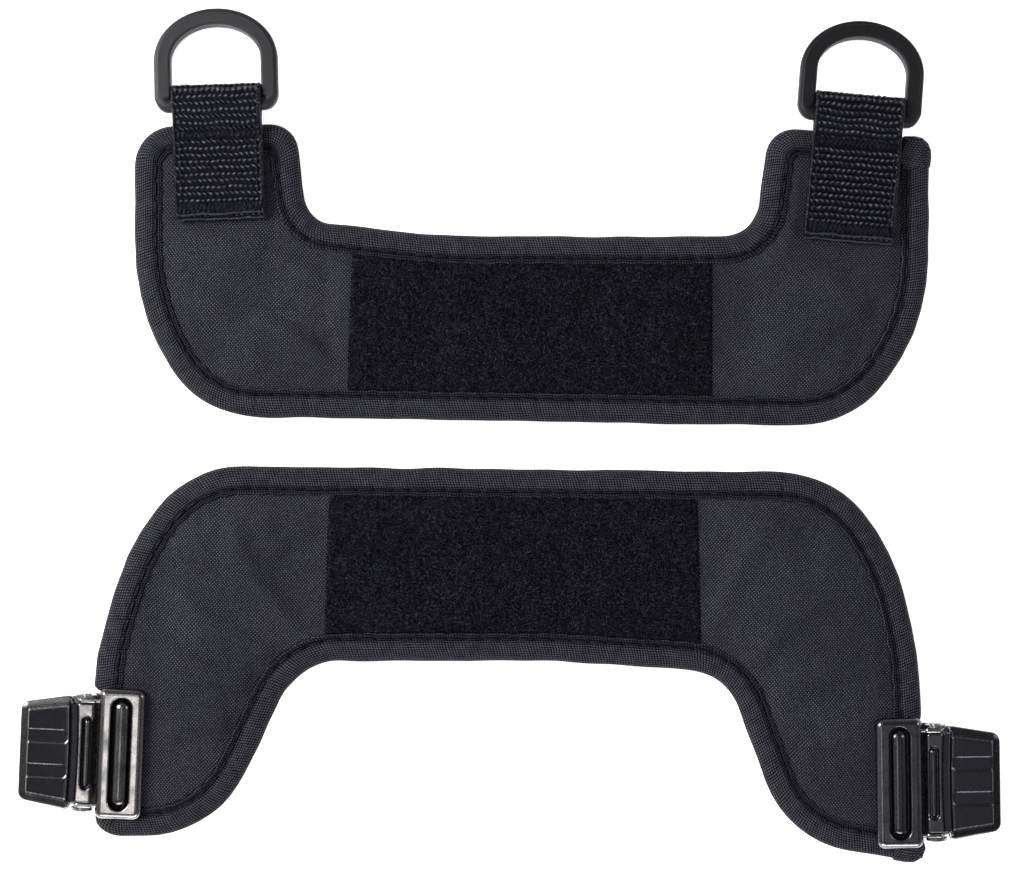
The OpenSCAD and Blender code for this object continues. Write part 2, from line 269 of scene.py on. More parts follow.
class Rail:
    """The band's edge as a smooth closed path. at(d) is the path d inside the edge."""

    def __init__(self, seam_node, edge_node, step=0.6):
        seam = soften(resample(node_loop(seam_node), step), 1.3 / step)
        self.seam = resample(seam, step)
        self.out = unit(soften(loop_normal(self.seam), 1.6 / step))
        reach = np.minimum(ray_reach(self.seam, self.out, node_loop(edge_node)), 9.0)
        self.stretch = soften(reach, 1.0)[:, None] / SEAM_INSET
        gap = np.linalg.norm(np.roll(self.seam, -1, 0) - self.seam, axis=1)
        self.s = np.concatenate([[0], np.cumsum(gap)[:-1]])
        self.length = gap.sum()
        self.pitch = self.length / round(self.length / STITCH_PITCH)

    def at(self, d):
        inside_seam = np.asarray(d, float) - SEAM_INSET
        return self.seam - self.out * inside_seam * np.where(inside_seam < 0, self.stretch, 1.0)


def fill_loop(loop, step):
    """Triangles over the inside of a loop, with a staggered grid of inner points.
    The loop's own points come first, in order."""
    low, high = loop.min(0), loop.max(0)
    rows = np.arange(low[1], high[1], step * 0.87)
    points = []
    for k, y in enumerate(rows):
        x = np.arange(low[0] + (k % 2) * step / 2, high[0], step)
        points.append(np.stack([x, np.full(len(x), y)], 1))
    points = np.vstack(points)
    points = points[inside(loop, points) & (nearest(loop, points) > step * 0.45)]
    verts = np.vstack([loop, points])
    edges = [(i, (i + 1) % len(loop)) for i in range(len(loop))]
    out = geometry.delaunay_2d_cdt(
        [Vector(p) for p in verts], edges, [list(range(len(loop)))], 1, 1e-5
    )
    origin = np.array([o[0] for o in out[3]])
    tris = origin[np.array(out[2])]
    a, b, c = verts[tris[:, 0]], verts[tris[:, 1]], verts[tris[:, 2]]
    (bx, by), (cx, cy) = (b - a).T, (c - a).T
    area = bx * cy - by * cx
    tris[area < 0] = tris[area < 0][:, ::-1]
    return verts, tris


def inside(loop, points):
    x, y = points[:, 0], points[:, 1]
    odd = np.zeros(len(points), bool)
    for a, b in zip(loop, np.roll(loop, -1, 0)):
        if a[1] != b[1]:
            crosses = (a[1] > y) != (b[1] > y)
            odd ^= crosses & (x < a[0] + (y - a[1]) * (b[0] - a[0]) / (b[1] - a[1]))
    return odd


def nearest(loop, points):
    """Distance from each point to a loop of close points."""
    tree = kdtree.KDTree(len(loop))
    for i, p in enumerate(loop):
        tree.insert((p[0], p[1], 0), i)
    tree.balance()
    return np.array([tree.find((p[0], p[1], 0))[2] for p in points])


def slab_piece(name, loop, tris, xy, top, bottom, *args, **kw):
    """A closed sheet between two heights over a filled loop."""
    n, rim = len(xy), len(loop)
    verts = np.vstack([np.column_stack([xy, top]), np.column_stack([xy, bottom])])
    i = np.arange(rim)
    j = (i + 1) % rim
    sides = np.stack([i + n, j + n, j, i], 1)
    faces = [*tris, *(tris[:, ::-1] + n), *sides]
    return mesh_piece(name, verts, faces, *args, **kw)


def tube(path, radius, sides):
    """Vertices and faces of a tube along 3-D points, with flat ends."""
    path = np.asarray(path, float)
    tangent = unit(np.gradient(path, axis=0))
    side = np.cross(tangent, [0.0, 0.0, 1.0])
    weak = np.linalg.norm(side, axis=1) < 0.2
    side[weak] = np.cross(tangent[weak], [1.0, 0.3, 0.0])
    side = unit(side)
    up = np.cross(side, tangent)
    angle = np.arange(sides) * TAU / sides
    r = np.broadcast_to(np.asarray(radius, float), (len(path),))[:, None, None]
    ring = side[:, None] * np.cos(angle)[:, None] + up[:, None] * np.sin(angle)[:, None]
    verts = (path[:, None] + ring * r).reshape(-1, 3)
    faces = [list(f) for f in grid_faces(len(path), sides, wrap_cols=True)]
    last = (len(path) - 1) * sides
    faces.append(list(range(sides)))
    faces.append([last + k for k in range(sides)][::-1])
    return verts, faces


class Pile:
    """Collects many small meshes into one."""

    def __init__(self):
        self.verts, self.faces, self.n = [], [], 0

    def add(self, verts, faces):
        self.verts.append(verts)
        self.faces += [[v + self.n for v in f] for f in faces]
        self.n += len(verts)

    def piece(self, name, *args, **kw):
        return mesh_piece(name, np.vstack(self.verts), self.faces, *args, **kw)


# ---------------------------------------------------------------- materials

class Graph:
    """A material's node tree, with short calls for the nodes used here."""

    def __init__(self, name):
        self.material = bpy.data.materials.new(name)
        self.material.use_nodes = True
        self.tree = self.material.node_tree
        self.tree.nodes.clear()
        self.shader = self.add("ShaderNodeBsdfPrincipled")
        out = self.add("ShaderNodeOutputMaterial")
        self.link(self.shader.outputs[0], out.inputs[0])

    def add(self, kind, **settings):
        node = self.tree.nodes.new(kind)
        for key, value in settings.items():
            setattr(node, key, value)
        return node

    def link(self, a, b):
        self.tree.links.new(a, b)

    def put(self, socket, value):
        if isinstance(value, bpy.types.NodeSocket):
            self.link(value, socket)
        else:
            socket.default_value = value

    def math(self, operation, a, b=0.0):
        node = self.add("ShaderNodeMath", operation=operation)
        self.put(node.inputs[0], a)
        self.put(node.inputs[1], b)
        return node.outputs[0]

    def times(self, first, *others):
        for other in others:
            first = self.math("MULTIPLY", first, other)
        return first

    def plus(self, a, b):
        return self.math("ADD", a, b)

    def wave(self, x, pitch):
        """Sine with one half wave in each pitch."""
        return self.math("SINE", self.math("MULTIPLY", x, PI / pitch))

    def position(self):
        """Object coordinates in millimetres."""
        node = self.add("ShaderNodeVectorMath", operation="SCALE")
        self.link(self.add("ShaderNodeTexCoord").outputs["Object"], node.inputs[0])
        node.inputs["Scale"].default_value = 1 / MM
        return node.outputs[0]

    def uv(self):
        return self.add("ShaderNodeUVMap", uv_map="UVMap").outputs[0]

    def split(self, vector):
        node = self.add("ShaderNodeSeparateXYZ")
        self.link(vector, node.inputs[0])
        return node.outputs[0], node.outputs[1], node.outputs[2]

    def noise(self, vector, scale, detail=3.0, rough=0.55):
        node = self.add("ShaderNodeTexNoise")
        self.link(vector, node.inputs["Vector"])
        node.inputs["Scale"].default_value = scale
        node.inputs["Detail"].default_value = detail
        node.inputs["Roughness"].default_value = rough
        return node.outputs[0]

    def remap(self, value, low, high, to_low, to_high):
        node = self.add("ShaderNodeMapRange")
        self.put(node.inputs[0], value)
        for k, v in enumerate((low, high, to_low, to_high), 1):
            node.inputs[k].default_value = v
        return node.outputs[0]

    def mix(self, factor, a, b):
        node = self.add("ShaderNodeMix", data_type="RGBA")
        self.put(node.inputs[0], factor)
        for socket, value in ((node.inputs[6], a), (node.inputs[7], b)):
            self.put(socket, (*value, 1.0) if isinstance(value, tuple) else value)
        return node.outputs[2]

    def bump(self, height, distance, strength):
        node = self.add("ShaderNodeBump")
        node.inputs["Strength"].default_value = strength
        node.inputs["Distance"].default_value = distance * MM
        self.link(height, node.inputs["Height"])
        return node.outputs[0]

    def finish(self, color, roughness, normal=None, **fixed):
        self.put(self.shader.inputs["Base Color"], (*color, 1.0) if isinstance(color, tuple) else color)
        self.put(self.shader.inputs["Roughness"], roughness)
        if normal is not None:
            self.link(normal, self.shader.inputs["Normal"])
        for key, value in fixed.items():
            self.shader.inputs[key.replace("_", " ")].default_value = value
        return self.material


def weave(g, x, y, pitch_x, pitch_y):
    """Plain weave: each crossing is a knuckle. Returns its height and which yarn is on top."""
    both = g.times(g.wave(x, pitch_x), g.wave(y, pitch_y))
    height = g.math("POWER", g.math("ABSOLUTE", both), 0.6)
    return height, g.math("GREATER_THAN", both, 0.0)


def fabric_material(name, dark, light, depth, turn=0.0):
    """Plain weave of filament yarn, with a painted highlight on the upper yarn at every other crossing
    and painted shade low between the knuckles.
    """
    g = Graph(name)
    p = g.position()
    rot = g.add("ShaderNodeVectorRotate", rotation_type="Z_AXIS")
    g.link(p, rot.inputs["Vector"])
    rot.inputs["Angle"].default_value = turn
    x, y, _ = g.split(rot.outputs[0])
    x = g.plus(x, g.times(g.noise(p, 0.12, 2.0), WEAVE_DRIFT))
    y = g.plus(y, g.times(g.noise(p, 0.09, 2.0), WEAVE_DRIFT))
    height, over = weave(g, x, y, WEAVE_PITCH, WEAVE_PITCH * 1.12)
    fibre = g.noise(p, 6.0, 2.0)
    slub = g.noise(p, 1.3, 2.0)
    broad = g.noise(p, 0.045, 3.0)
    # shade holds painted shade low between the knuckles and a painted highlight where the upper yarn
    # crosses, over random slub, fibre and broad tone
    shade = g.times(
        g.math("POWER", height, 1.5), g.remap(over, 0, 1, 0.16, 1.0),
        g.remap(slub, 0.3, 0.7, 0.55, 1.1), g.remap(fibre, 0.3, 0.7, 0.7, 1.2),
        g.remap(broad, 0.35, 0.65, 0.75, 1.1),
    )
    normal = g.bump(g.plus(height, g.times(fibre, 0.3)), depth, 0.9)
    color = g.mix(shade, dark, light)
    return g.finish(color, g.remap(height, 0, 1, 0.85, 0.5), normal, Specular_IOR_Level=0.12)


def binding_material():
    """Grosgrain tape: a skewed grid of small floats with painted shade in the gaps between,
    and painted shade darkest in the groove of the stitch line."""
    g = Graph("binding_tape")
    p = g.position()
    s, d, _ = g.split(g.uv())
    along = g.plus(g.plus(s, g.times(d, TAPE_SKEW)), g.times(g.noise(p, 0.3, 2.0), TAPE_DRIFT))
    across = g.plus(d, g.times(g.noise(p, 0.25, 2.0), TAPE_DRIFT))
    column = g.math("ABSOLUTE", g.wave(along, TAPE_COLUMN))
    row = g.math("ABSOLUTE", g.wave(across, TAPE_ROW))
    height = g.times(g.remap(column, 0, 1, 0.12, 1.0), g.remap(row, 0, 1, 0.12, 1.0))
    # Painted shade in the groove along the stitch line
    from_groove = g.math("ABSOLUTE", g.math("SUBTRACT", d, STITCH_LINE + 0.3))
    groove = g.remap(from_groove, 0.5, 1.6, 0.38, 1.0)
    fibre = g.noise(p, 5.0, 2.0)
    wear = g.noise(p, 0.35, 3.0)
    # shade adds painted shade in the gaps between floats to the fibre and wear tone
    shade = g.times(g.math("POWER", height, 2.0), g.remap(fibre, 0.3, 0.7, 0.6, 1.15),
                    g.remap(wear, 0.35, 0.65, 0.7, 1.1), groove)
    color = g.mix(shade, (0.0008, 0.0008, 0.0014), (0.112, 0.113, 0.146))
    normal = g.bump(height, 0.2, 0.9)
    return g.finish(color, 0.6, normal, Specular_IOR_Level=0.06)


def yarn_material(name, dark, light, rough, shine):
    """Twisted filament yarn, for webbing and thread."""
    g = Graph(name)
    p = g.position()
    fine = g.noise(p, 7.0, 3.0, 0.65)
    broad = g.noise(p, 0.5, 2.0)
    shade = g.times(g.remap(fine, 0.3, 0.7, 0.2, 1.0), g.remap(broad, 0.3, 0.7, 0.7, 1.1))
    return g.finish(g.mix(shade, dark, light), rough, g.bump(fine, 0.08, 0.7),
                    Specular_IOR_Level=shine, Specular_Tint=NYLON_TINT)


def webbing_material():
    """Black nylon with a painted highlight on top of each float. The first UV coordinate is the yarn's
    relief, which places the painted highlight.
    """
    g = Graph("webbing_yarn")
    p = g.position()
    relief, _, _ = g.split(g.uv())
    fine = g.noise(p, 7.0, 3.0, 0.65)
    broad = g.noise(p, 0.35, 2.0)
    # Painted highlight on the float tops, from the relief
    shade = g.times(g.remap(relief, 0.62, 1.0, 0.0, 1.0), g.remap(fine, 0.3, 0.7, 0.45, 1.2),
                    g.remap(broad, 0.3, 0.7, 0.55, 1.15))
    color = g.mix(shade, (0.0010, 0.0010, 0.0018), (0.17, 0.173, 0.215))
    return g.finish(color, 0.3, g.bump(fine, 0.08, 0.7), Specular_IOR_Level=0.16,
                    Specular_Tint=NYLON_TINT)


def pile_material():
    """Fuzzy black fibres, clumped, with painted shade in the gaps between the clumps."""
    g = Graph("loop_pile")
    p = g.position()
    clump = g.noise(p, 0.9, 4.0, 0.7)
    fine = g.noise(p, 2.4, 3.0, 0.7)
    # Painted shade in the gaps between the clumps
    shade = g.times(g.remap(clump, 0.38, 0.66, 0.25, 1.0), g.remap(fine, 0.46, 0.66, 0.0, 1.0))
    color = g.mix(shade, (0.0010, 0.0010, 0.0016), (0.050, 0.052, 0.070))
    return g.finish(color, 0.85, g.bump(fine, 0.15, 0.8), Specular_IOR_Level=0.04)


def plastic_material(name, shine):
    """Black moulded plastic with a fine grain and pale scuffs."""
    g = Graph(name)
    p = g.position()
    grain = g.noise(p, 4.5, 4.0, 0.65)
    scuff = g.remap(g.noise(p, 1.6, 3.0, 0.7), 0.6, 0.75, 0.0, 0.6)
    color = g.mix(g.remap(grain, 0.4, 0.65, 0, 1), (0.003, 0.003, 0.005), (0.010, 0.010, 0.014))
    color = g.mix(scuff, color, (0.03, 0.03, 0.036))
    rough = g.remap(grain, 0.35, 0.65, 0.34, 0.58)
    return g.finish(color, rough, g.bump(grain, 0.11, 0.7), IOR=1.5,
                    Specular_IOR_Level=shine)


def nickel_material(name, bright, warm, dark):
    """Nickel plate with warm stains. The first UV coordinate says how dark it is painted, as painted
    shade and painted dark reflection.
    """
    g = Graph(name)
    p = g.position()
    black, _, _ = g.split(g.uv())
    cloud = g.noise(p, 0.22, 3.0)
    stain = g.noise(p, 1.1, 3.0, 0.6)
    grain = g.noise(p, 5.0, 4.0, 0.65)
    base = g.mix(g.remap(stain, 0.42, 0.6, 0, 1), bright, warm)
    base = g.mix(g.remap(cloud, 0.45, 0.7, 0, 0.55), base, dark)
    # Painted shade and painted dark reflection, from the first UV coordinate
    color = g.mix(black, base, dark)
    rough = g.plus(g.remap(grain, 0.3, 0.7, 0.16, 0.30), g.remap(cloud, 0.3, 0.7, 0.0, 0.05))
    return g.finish(color, rough, g.bump(grain, 0.02, 0.4), Metallic=1.0)


def foam_material():
    """Open-cell grey foam."""
    g = Graph("foam")
    p = g.position()
    cells = g.add("ShaderNodeTexVoronoi")
    g.link(p, cells.inputs["Vector"])
    cells.inputs["Scale"].default_value = 1.4
    color = g.mix(cells.outputs[0], (0.12, 0.12, 0.12), (0.3, 0.3, 0.29))
    return g.finish(color, 0.9, g.bump(cells.outputs[0], 0.2, 0.8))


def floor_material():
    """White sweep, lit from behind like a light table so that shadows stay faint."""
    g = Graph("floor_paint")
    tone = g.noise(g.position(), 0.004, 2.0)
    g.shader.inputs["Emission Color"].default_value = (1.0, 1.0, 1.0, 1.0)
    return g.finish(g.mix(tone, (0.9, 0.9, 0.9), (0.93, 0.93, 0.93)), 0.9, Emission_Strength=0.8)


FACE = fabric_material("face_weave", (0.0016, 0.0016, 0.0026), (0.13, 0.133, 0.172), 0.16, 0.06)
BACK = fabric_material("back_weave", (0.0016, 0.0016, 0.0022), (0.10, 0.10, 0.125), 0.14)
BINDING = binding_material()
WEBBING = webbing_material()
THREAD = yarn_material("thread", (0.0012, 0.0012, 0.0018), (0.010, 0.010, 0.014), 0.35, 0.2)
MELTED = yarn_material("melted_nylon", (0.008, 0.008, 0.011), (0.045, 0.047, 0.06), 0.3, 0.3)
LOOP = pile_material()
PLASTIC = {
    "left": plastic_material("ring_plastic", 0.5),
    "right": plastic_material("ring_plastic_dull", 0.28),
}
FOAM = foam_material()
# Lit and shaded copies of one nickel plate: the left clip's is painted lit, the right clip's painted
# shaded
NICKEL = {
    "left": nickel_material(
        "nickel_painted_lit", (0.50, 0.50, 0.53), (0.56, 0.50, 0.45), (0.023, 0.023, 0.028)),
    "right": nickel_material(
        "nickel_painted_shaded", (0.36, 0.36, 0.39), (0.40, 0.37, 0.35), (0.070, 0.070, 0.084)),
}


# ---------------------------------------------------------------- places

class Place:
    """A flat frame at a joint: u outwards, v along the joint's axis, z up. shift moves the
    origin outwards from the joint."""

    def __init__(self, joint, shift=0.0, sign=1.0):
        found = next(j for j in frame["record"]["behaviour"]["joints"] if j["name"] == joint)
        self.along = unit(np.array(found["axis"][:2], float)) * sign
        axis = self.along * sign
        self.out = np.array([-axis[1], axis[0]])
        self.pin = np.array(found["pos_m"]) / MM
        self.origin = self.pin[:2] + self.out * shift

    def world(self, uvz):
        p = np.asarray(uvz, float)
        xy = self.origin + p[:, :1] * self.out + p[:, 1:2] * self.along
        return np.column_stack([xy, p[:, 2]])

    def local(self, xy):
        d = np.asarray(xy, float) - self.origin
        return d @ self.out, d @ self.along


RINGS = {side: Place(f"{side}_ring_swing", BAR_BACK[side]) for side in ("left", "right")}
CLIPS = {side: Place(f"{side}_lever_lift", -PIN_U, -1.0) for side in ("left", "right")}


# ---------------------------------------------------------------- bands

def clip_squeeze(xy):
    """Draws the band's edge in where a clip's ears and lever pass it."""
    xy = xy.copy()
    for place in CLIPS.values():
        u, v = place.local(xy)
        limit = -1.1 + 5.0 * smoothstep(np.abs(v), 16.3, SQUEEZE_HALF)
        near = (np.abs(v) < SQUEEZE_HALF) & (np.abs(u) < 12)
        excess = np.where(near, np.maximum(u - limit, 0), 0)
        xy -= excess[:, None] * place.out
    return xy


def under(places, xy, middle, u_reach, v_reach):
    """1 under the hardware at some places, falling to 0 away from it. middle is its u, and
    each reach is (where it ends, where it is full)."""
    total = np.zeros(len(xy))
    for place in places.values():
        u, v = place.local(xy)
        total += smoothstep(np.abs(v), *v_reach) * smoothstep(np.abs(u - middle), *u_reach)
    return np.clip(total, 0, 1)


def near_clip(xy):
    return under(CLIPS, xy, -6, (16, 9), (26, 18))


def near_webbing(xy):
    return under(RINGS, xy, -20, (20, 14), (16, 12.5))


# Outer surface of the folded tape, as (distance inside the edge, height), then its inner
# surface. The outer one reaches the edge itself at EDGE_POINT.
TAPE_OUTER = [
    (7.80, 4.50), (7.78, 4.80), (7.60, 5.00), (7.20, 5.06), (6.70, 5.02), (6.35, 4.94), (6.20, 4.90),
    (6.05, 4.94), (5.60, 5.06), (4.80, 5.16), (3.80, 5.16), (2.80, 5.02), (1.90, 4.72), (1.15, 4.28),
    (0.55, 3.66), (0.14, 2.95), (0.00, 2.45), (0.14, 1.90), (0.55, 1.15), (1.15, 0.60), (1.90, 0.24),
    (2.80, 0.06), (3.80, 0.0), (5.20, 0.02), (6.20, 0.12), (7.20, 0.04), (7.65, 0.06), (7.80, 0.42),
]
EDGE_POINT = 16
TAPE_INNER = [
    (7.60, 0.52), (6.20, 0.56), (3.80, 0.54), (2.40, 0.72), (1.40, 1.20), (0.85, 1.90), (0.70, 2.45),
    (0.85, 3.00), (1.40, 3.72), (2.40, 4.30), (3.80, 4.52), (6.20, 4.42), (7.60, 4.46),
]


def binding_piece(name, rail, base, body, replaces):
    """Tape folded over the band's edge, pulled in by its stitches and drawn in at the clips."""
    profile = np.array(TAPE_OUTER + TAPE_INNER)
    rows, cols = len(rail.seam), len(profile)
    phase = rail.s / rail.pitch
    hole = bell((phase - np.round(phase)) * rail.pitch, 0.6)
    pull = 0.5 + 0.5 * np.cos(TAU * phase)
    edge = Waves(21, 16)(rail.seam[:, 0], rail.seam[:, 1])
    ripple = Waves(22, 5)(rail.seam[:, 0], rail.seam[:, 1])
    across = path_length(profile)
    verts = np.empty((rows, cols, 3))
    for k, (d, z) in enumerate(profile):
        top = 1.0 if z > TAPE_OUTER[EDGE_POINT][1] else -1.0
        near_line = bell(d - STITCH_LINE, 0.75)
        dip = near_line * (0.12 + 0.24 * hole + 0.08 * pull)
        crown = (0.14 * bell(d - 4.2, 1.6) + 0.10 * bell(d - 7.3, 0.5)) * (1 - pull)
        lift = (crown + 0.07 * ripple * bell(d - 4, 3)) * (top > 0) - dip
        scallop = (ripple + np.cos(TAU * phase)) * bell(d - BINDING_W, 0.8)
        wander = 0.16 * edge * bell(d, 4) + 0.16 * scallop
        verts[:, k, :2] = clip_squeeze(rail.at(np.full((rows, 1), d)) + rail.out * wander[:, None])
        verts[:, k, 2] = base + np.maximum(z + top * lift, 0.0)
    squeeze = near_clip(verts[:, :, :2].reshape(-1, 2)).reshape(rows, cols)
    verts[:, :, 2] -= squeeze * np.maximum(verts[:, :, 2] - base - 4.9, 0)
    uv = np.empty((rows, cols, 2))
    middle = rail.at(3.0)
    uv[:, :, 0] = np.cumsum(np.linalg.norm(middle - np.roll(middle, 1, 0), axis=1))[:, None]
    top_count = EDGE_POINT + 1
    uv[:, :, 1] = np.append(profile[:top_count, 0], across[EDGE_POINT] - across[top_count:])
    mesh_piece(name, verts.reshape(-1, 3), grid_faces(rows, cols, True, True), BINDING, body,
               "binding", replaces, uv.reshape(-1, 2))


def stitch_pieces(name, rail, base, body, replaces):
    """Lock stitches: a short thread between each pair of needle holes, face and back."""
    pile = Pile()
    line = rail.at(STITCH_LINE)
    closed_s = np.append(rail.s, rail.length)
    closed = np.vstack([line, line[:1]])
    local = np.random.default_rng(31)
    for k in range(int(round(rail.length / rail.pitch))):
        t = np.linspace(0.10, 0.90, 9)
        s = (k + t + local.normal(0, 0.012)) * rail.pitch % rail.length
        xy = at_length(s, closed_s, closed)
        sink = 1 - (2 * np.abs(t - 0.5) / 0.8) ** 4
        for height, sign in ((base + 4.88, 1.0), (base + 0.30, -1.0)):
            z = np.maximum(height + sign * 0.30 * sink, THREAD_R + 0.01)
            pile.add(*tube(np.column_stack([xy, z]), THREAD_R, 7))
    pile.piece(name, THREAD, body, "thread", replaces)


class Wrinkles:
    """Soft folds of the face fabric, as (x0, y0, x1, y1, height, width) over small waves."""

    def __init__(self, folds, seed):
        self.folds = folds
        self.waves = Waves(seed, 24)
        self.small = Waves(seed + 1, 7)

    def __call__(self, xy, dist):
        h = 0.30 * self.waves(xy[:, 0], xy[:, 1]) + 0.08 * self.small(xy[:, 0], xy[:, 1])
        for x0, y0, x1, y1, height, width in self.folds:
            a = np.array([x0, y0])
            d = np.array([x1, y1]) - a
            long = np.linalg.norm(d)
            t = ((xy - a) @ d) / (d @ d)
            bow = 0.06 * long * np.sin(PI * np.clip(t, 0, 1))
            side = (xy - a - t[:, None] * d) @ np.array([-d[1], d[0]]) / long - bow
            fade = smoothstep(t, -0.15, 0.2) * smoothstep(t, 1.15, 0.75)
            h += FOLD_GAIN * height * bell(side, width) * fade
        return h * smoothstep(dist, 0.3, 4.0)


class Face:
    """Height of a band's face at any point: a puffed, folded cloth that has settled."""

    def __init__(self, rail, base, wrinkles, patch):
        self.base, self.wrinkles = base, wrinkles
        self.patch = [np.array(corner[:2]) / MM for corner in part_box(patch)]
        self.edge = resample(rail.at(BINDING_W), 0.6)
        self.tree = self.settle(rail)

    def drawn(self, xy):
        dist = nearest(self.edge, xy) * np.where(inside(self.edge, xy), 1.0, 0.0)
        rise = PUFF * (1 - np.exp(-dist / PUFF_RUN))
        free = 1 - np.maximum(near_clip(xy), near_webbing(xy))
        return free * (rise + self.wrinkles(xy, dist)), free * smoothstep(dist, 0, 3)

    def over_patch(self, point):
        """1 over the patch, which holds the cloth flat, falling to 0 beside it."""
        low, high = self.patch
        return float(smoothstep(min(*(point - low), *(high - point)), -4, 3))

    def settle(self, rail):
        """The cloth is cut a little large, held at the binding and under the clips and
        webbing, and pressed up by the foam. It is simulated ten times life size."""
        loop = resample(rail.at(FACE_TUCK), CLOTH_STEP)
        xy, tris = fill_loop(loop, CLOTH_STEP)
        start, free = self.drawn(xy)
        mesh = bpy.data.meshes.new("cloth")
        verts = np.column_stack([xy, start]) * MM * CLOTH_SCALE
        mesh.from_pydata(verts.tolist(), [], tris.tolist())
        obj = bpy.data.objects.new("cloth", mesh)
        bpy.context.scene.collection.objects.link(obj)
        held = obj.vertex_groups.new(name="held")
        held.add([i for i in range(len(xy)) if free[i] < 0.25 or i < len(loop)], 1.0, "REPLACE")
        cloth = obj.modifiers.new("cloth", "CLOTH")
        cloth.settings.vertex_group_mass = "held"
        cloth.settings.effector_weights.gravity = 0
        cloth.settings.quality = 6
        cloth.settings.mass = 0.3
        cloth.settings.bending_stiffness = 0.1
        cloth.settings.shrink_min = -CLOTH_SPARE
        cloth.settings.use_pressure = True
        cloth.settings.uniform_pressure_force = 0.5
        cloth.point_cache.frame_start = 1
        cloth.point_cache.frame_end = CLOTH_FRAMES
        for step in range(1, CLOTH_FRAMES + 1):
            bpy.context.scene.frame_set(step)
        settled = obj.evaluated_get(bpy.context.evaluated_depsgraph_get()).to_mesh()
        z = np.array([v.co.z for v in settled.vertices]) / MM / CLOTH_SCALE
        bpy.data.objects.remove(obj)
        bpy.data.meshes.remove(mesh)
        bpy.context.scene.frame_set(1)
        change = CLOTH_CAP * np.tanh(0.6 * (z - start) / CLOTH_CAP) * free
        patch = np.array([self.over_patch(p) for p in xy])
        change *= 1 - 0.6 * patch
        return bvhtree.BVHTree.FromPolygons(np.column_stack([xy, change]).tolist(), tris.tolist())

    def settled(self, xy):
        total = np.zeros(len(xy))
        for dx, dy in ((0, 0), (0.9, 0), (-0.9, 0), (0, 0.9), (0, -0.9)):
            for i, (x, y) in enumerate(xy):
                hit = self.tree.ray_cast(Vector((x + dx, y + dy, 20)), Vector((0, 0, -1)))[0]
                total[i] += hit.z / 5 if hit else 0
        return total

    def __call__(self, xy):
        height = self.base + FACE_LOW + self.drawn(xy)[0]
        return height + self.settled(xy) if self.tree else height


def band(prefix, wrinkles):
    """Face, foam, back, binding and stitches. Gives the band's rail, face height and base."""
    body = f"{prefix}_band"
    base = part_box(f"{prefix}_binding")[0].z / MM
    rail = Rail(f"{prefix}_seam", f"{prefix}_binding")
    height = Face(rail, base, wrinkles, f"{prefix}_loop_patch")
    loop = clip_squeeze(resample(rail.at(FACE_TUCK), 0.9))
    xy, tris = fill_loop(loop, 1.1)
    top = height(xy)
    dist = nearest(height.edge, xy) * inside(height.edge, xy)
    sag = 0.4 * (1 - np.exp(-dist / PUFF_RUN))
    tucked = np.clip(1 - dist / 0.5, 0, 1)
    slab_piece(f"{prefix}_face_cloth", loop, tris, xy, top - 0.03 * tucked, top - 0.5, FACE, body,
               "face_fabric", [f"{prefix}_face"])
    pad = slab_piece(f"{prefix}_foam_pad", loop, tris, xy, top - 0.52, base + 1.02 - sag, FOAM, body,
                     "foam", [f"{prefix}_foam"])
    slab_piece(f"{prefix}_back_cloth", loop, tris, xy, base + 1.0 - sag, base + 0.56 - sag, BACK, body,
               "back_fabric", [f"{prefix}_back"])
    binding_piece(f"{prefix}_binding_tape", rail, base, body, [f"{prefix}_binding"])
    stitch_pieces(f"{prefix}_stitches", rail, base, body, [f"{prefix}_seam"])
    return rail, height, base


def loop_patch(prefix, height):
    """A napped patch: a soft backing with thousands of short curled fibres."""
    body, replaced = f"{prefix}_band", [f"{prefix}_loop_patch"]
    loop = resample(node_loop(f"{prefix}_loop_patch"), 0.8)
    xy, tris = fill_loop(loop, 1.0)
    edge = nearest(loop, xy)
    nap = Waves(41, 3.2)
    top = height(xy) + 0.15 + 0.45 * smoothstep(edge, 0, 1.2) + 0.10 * nap(xy[:, 0], xy[:, 1])
    slab_piece(f"{prefix}_patch_backing", loop, tris, xy, top, height(xy) + 0.02, LOOP, body,
               "loop_pile", replaced)
    local = np.random.default_rng(43)
    low, high = loop.min(0), loop.max(0)
    count = int(np.prod((high - low) / NAP_PITCH))
    root = local.uniform(low, high, (count, 2))
    root = root[inside(loop, root) & (nearest(loop, root) > 0.25)]
    z = height(root) + 0.45
    pile = Pile()
    angle, reach, rise, bend = (
        local.uniform(*span, len(root)) for span in ((0, TAU), (0.5, 1.3), (0.25, 0.62), (-0.8, 0.8))
    )
    t = np.array([0.0, 0.35, 0.7, 1.0])
    radius = np.array([0.07, 0.09, 0.07, 0.03])
    for i, (x, y) in enumerate(root):
        a = angle[i] + bend[i] * t
        path = np.column_stack([x + reach[i] * t * np.cos(a), y + reach[i] * t * np.sin(a),
                                z[i] + rise[i] * np.sin(PI * (0.1 + 0.75 * t))])
        pile.add(*tube(path, radius, 3))
    pile.piece(f"{prefix}_loop_pile", LOOP, body, "loop_pile", replaced, smooth=False)


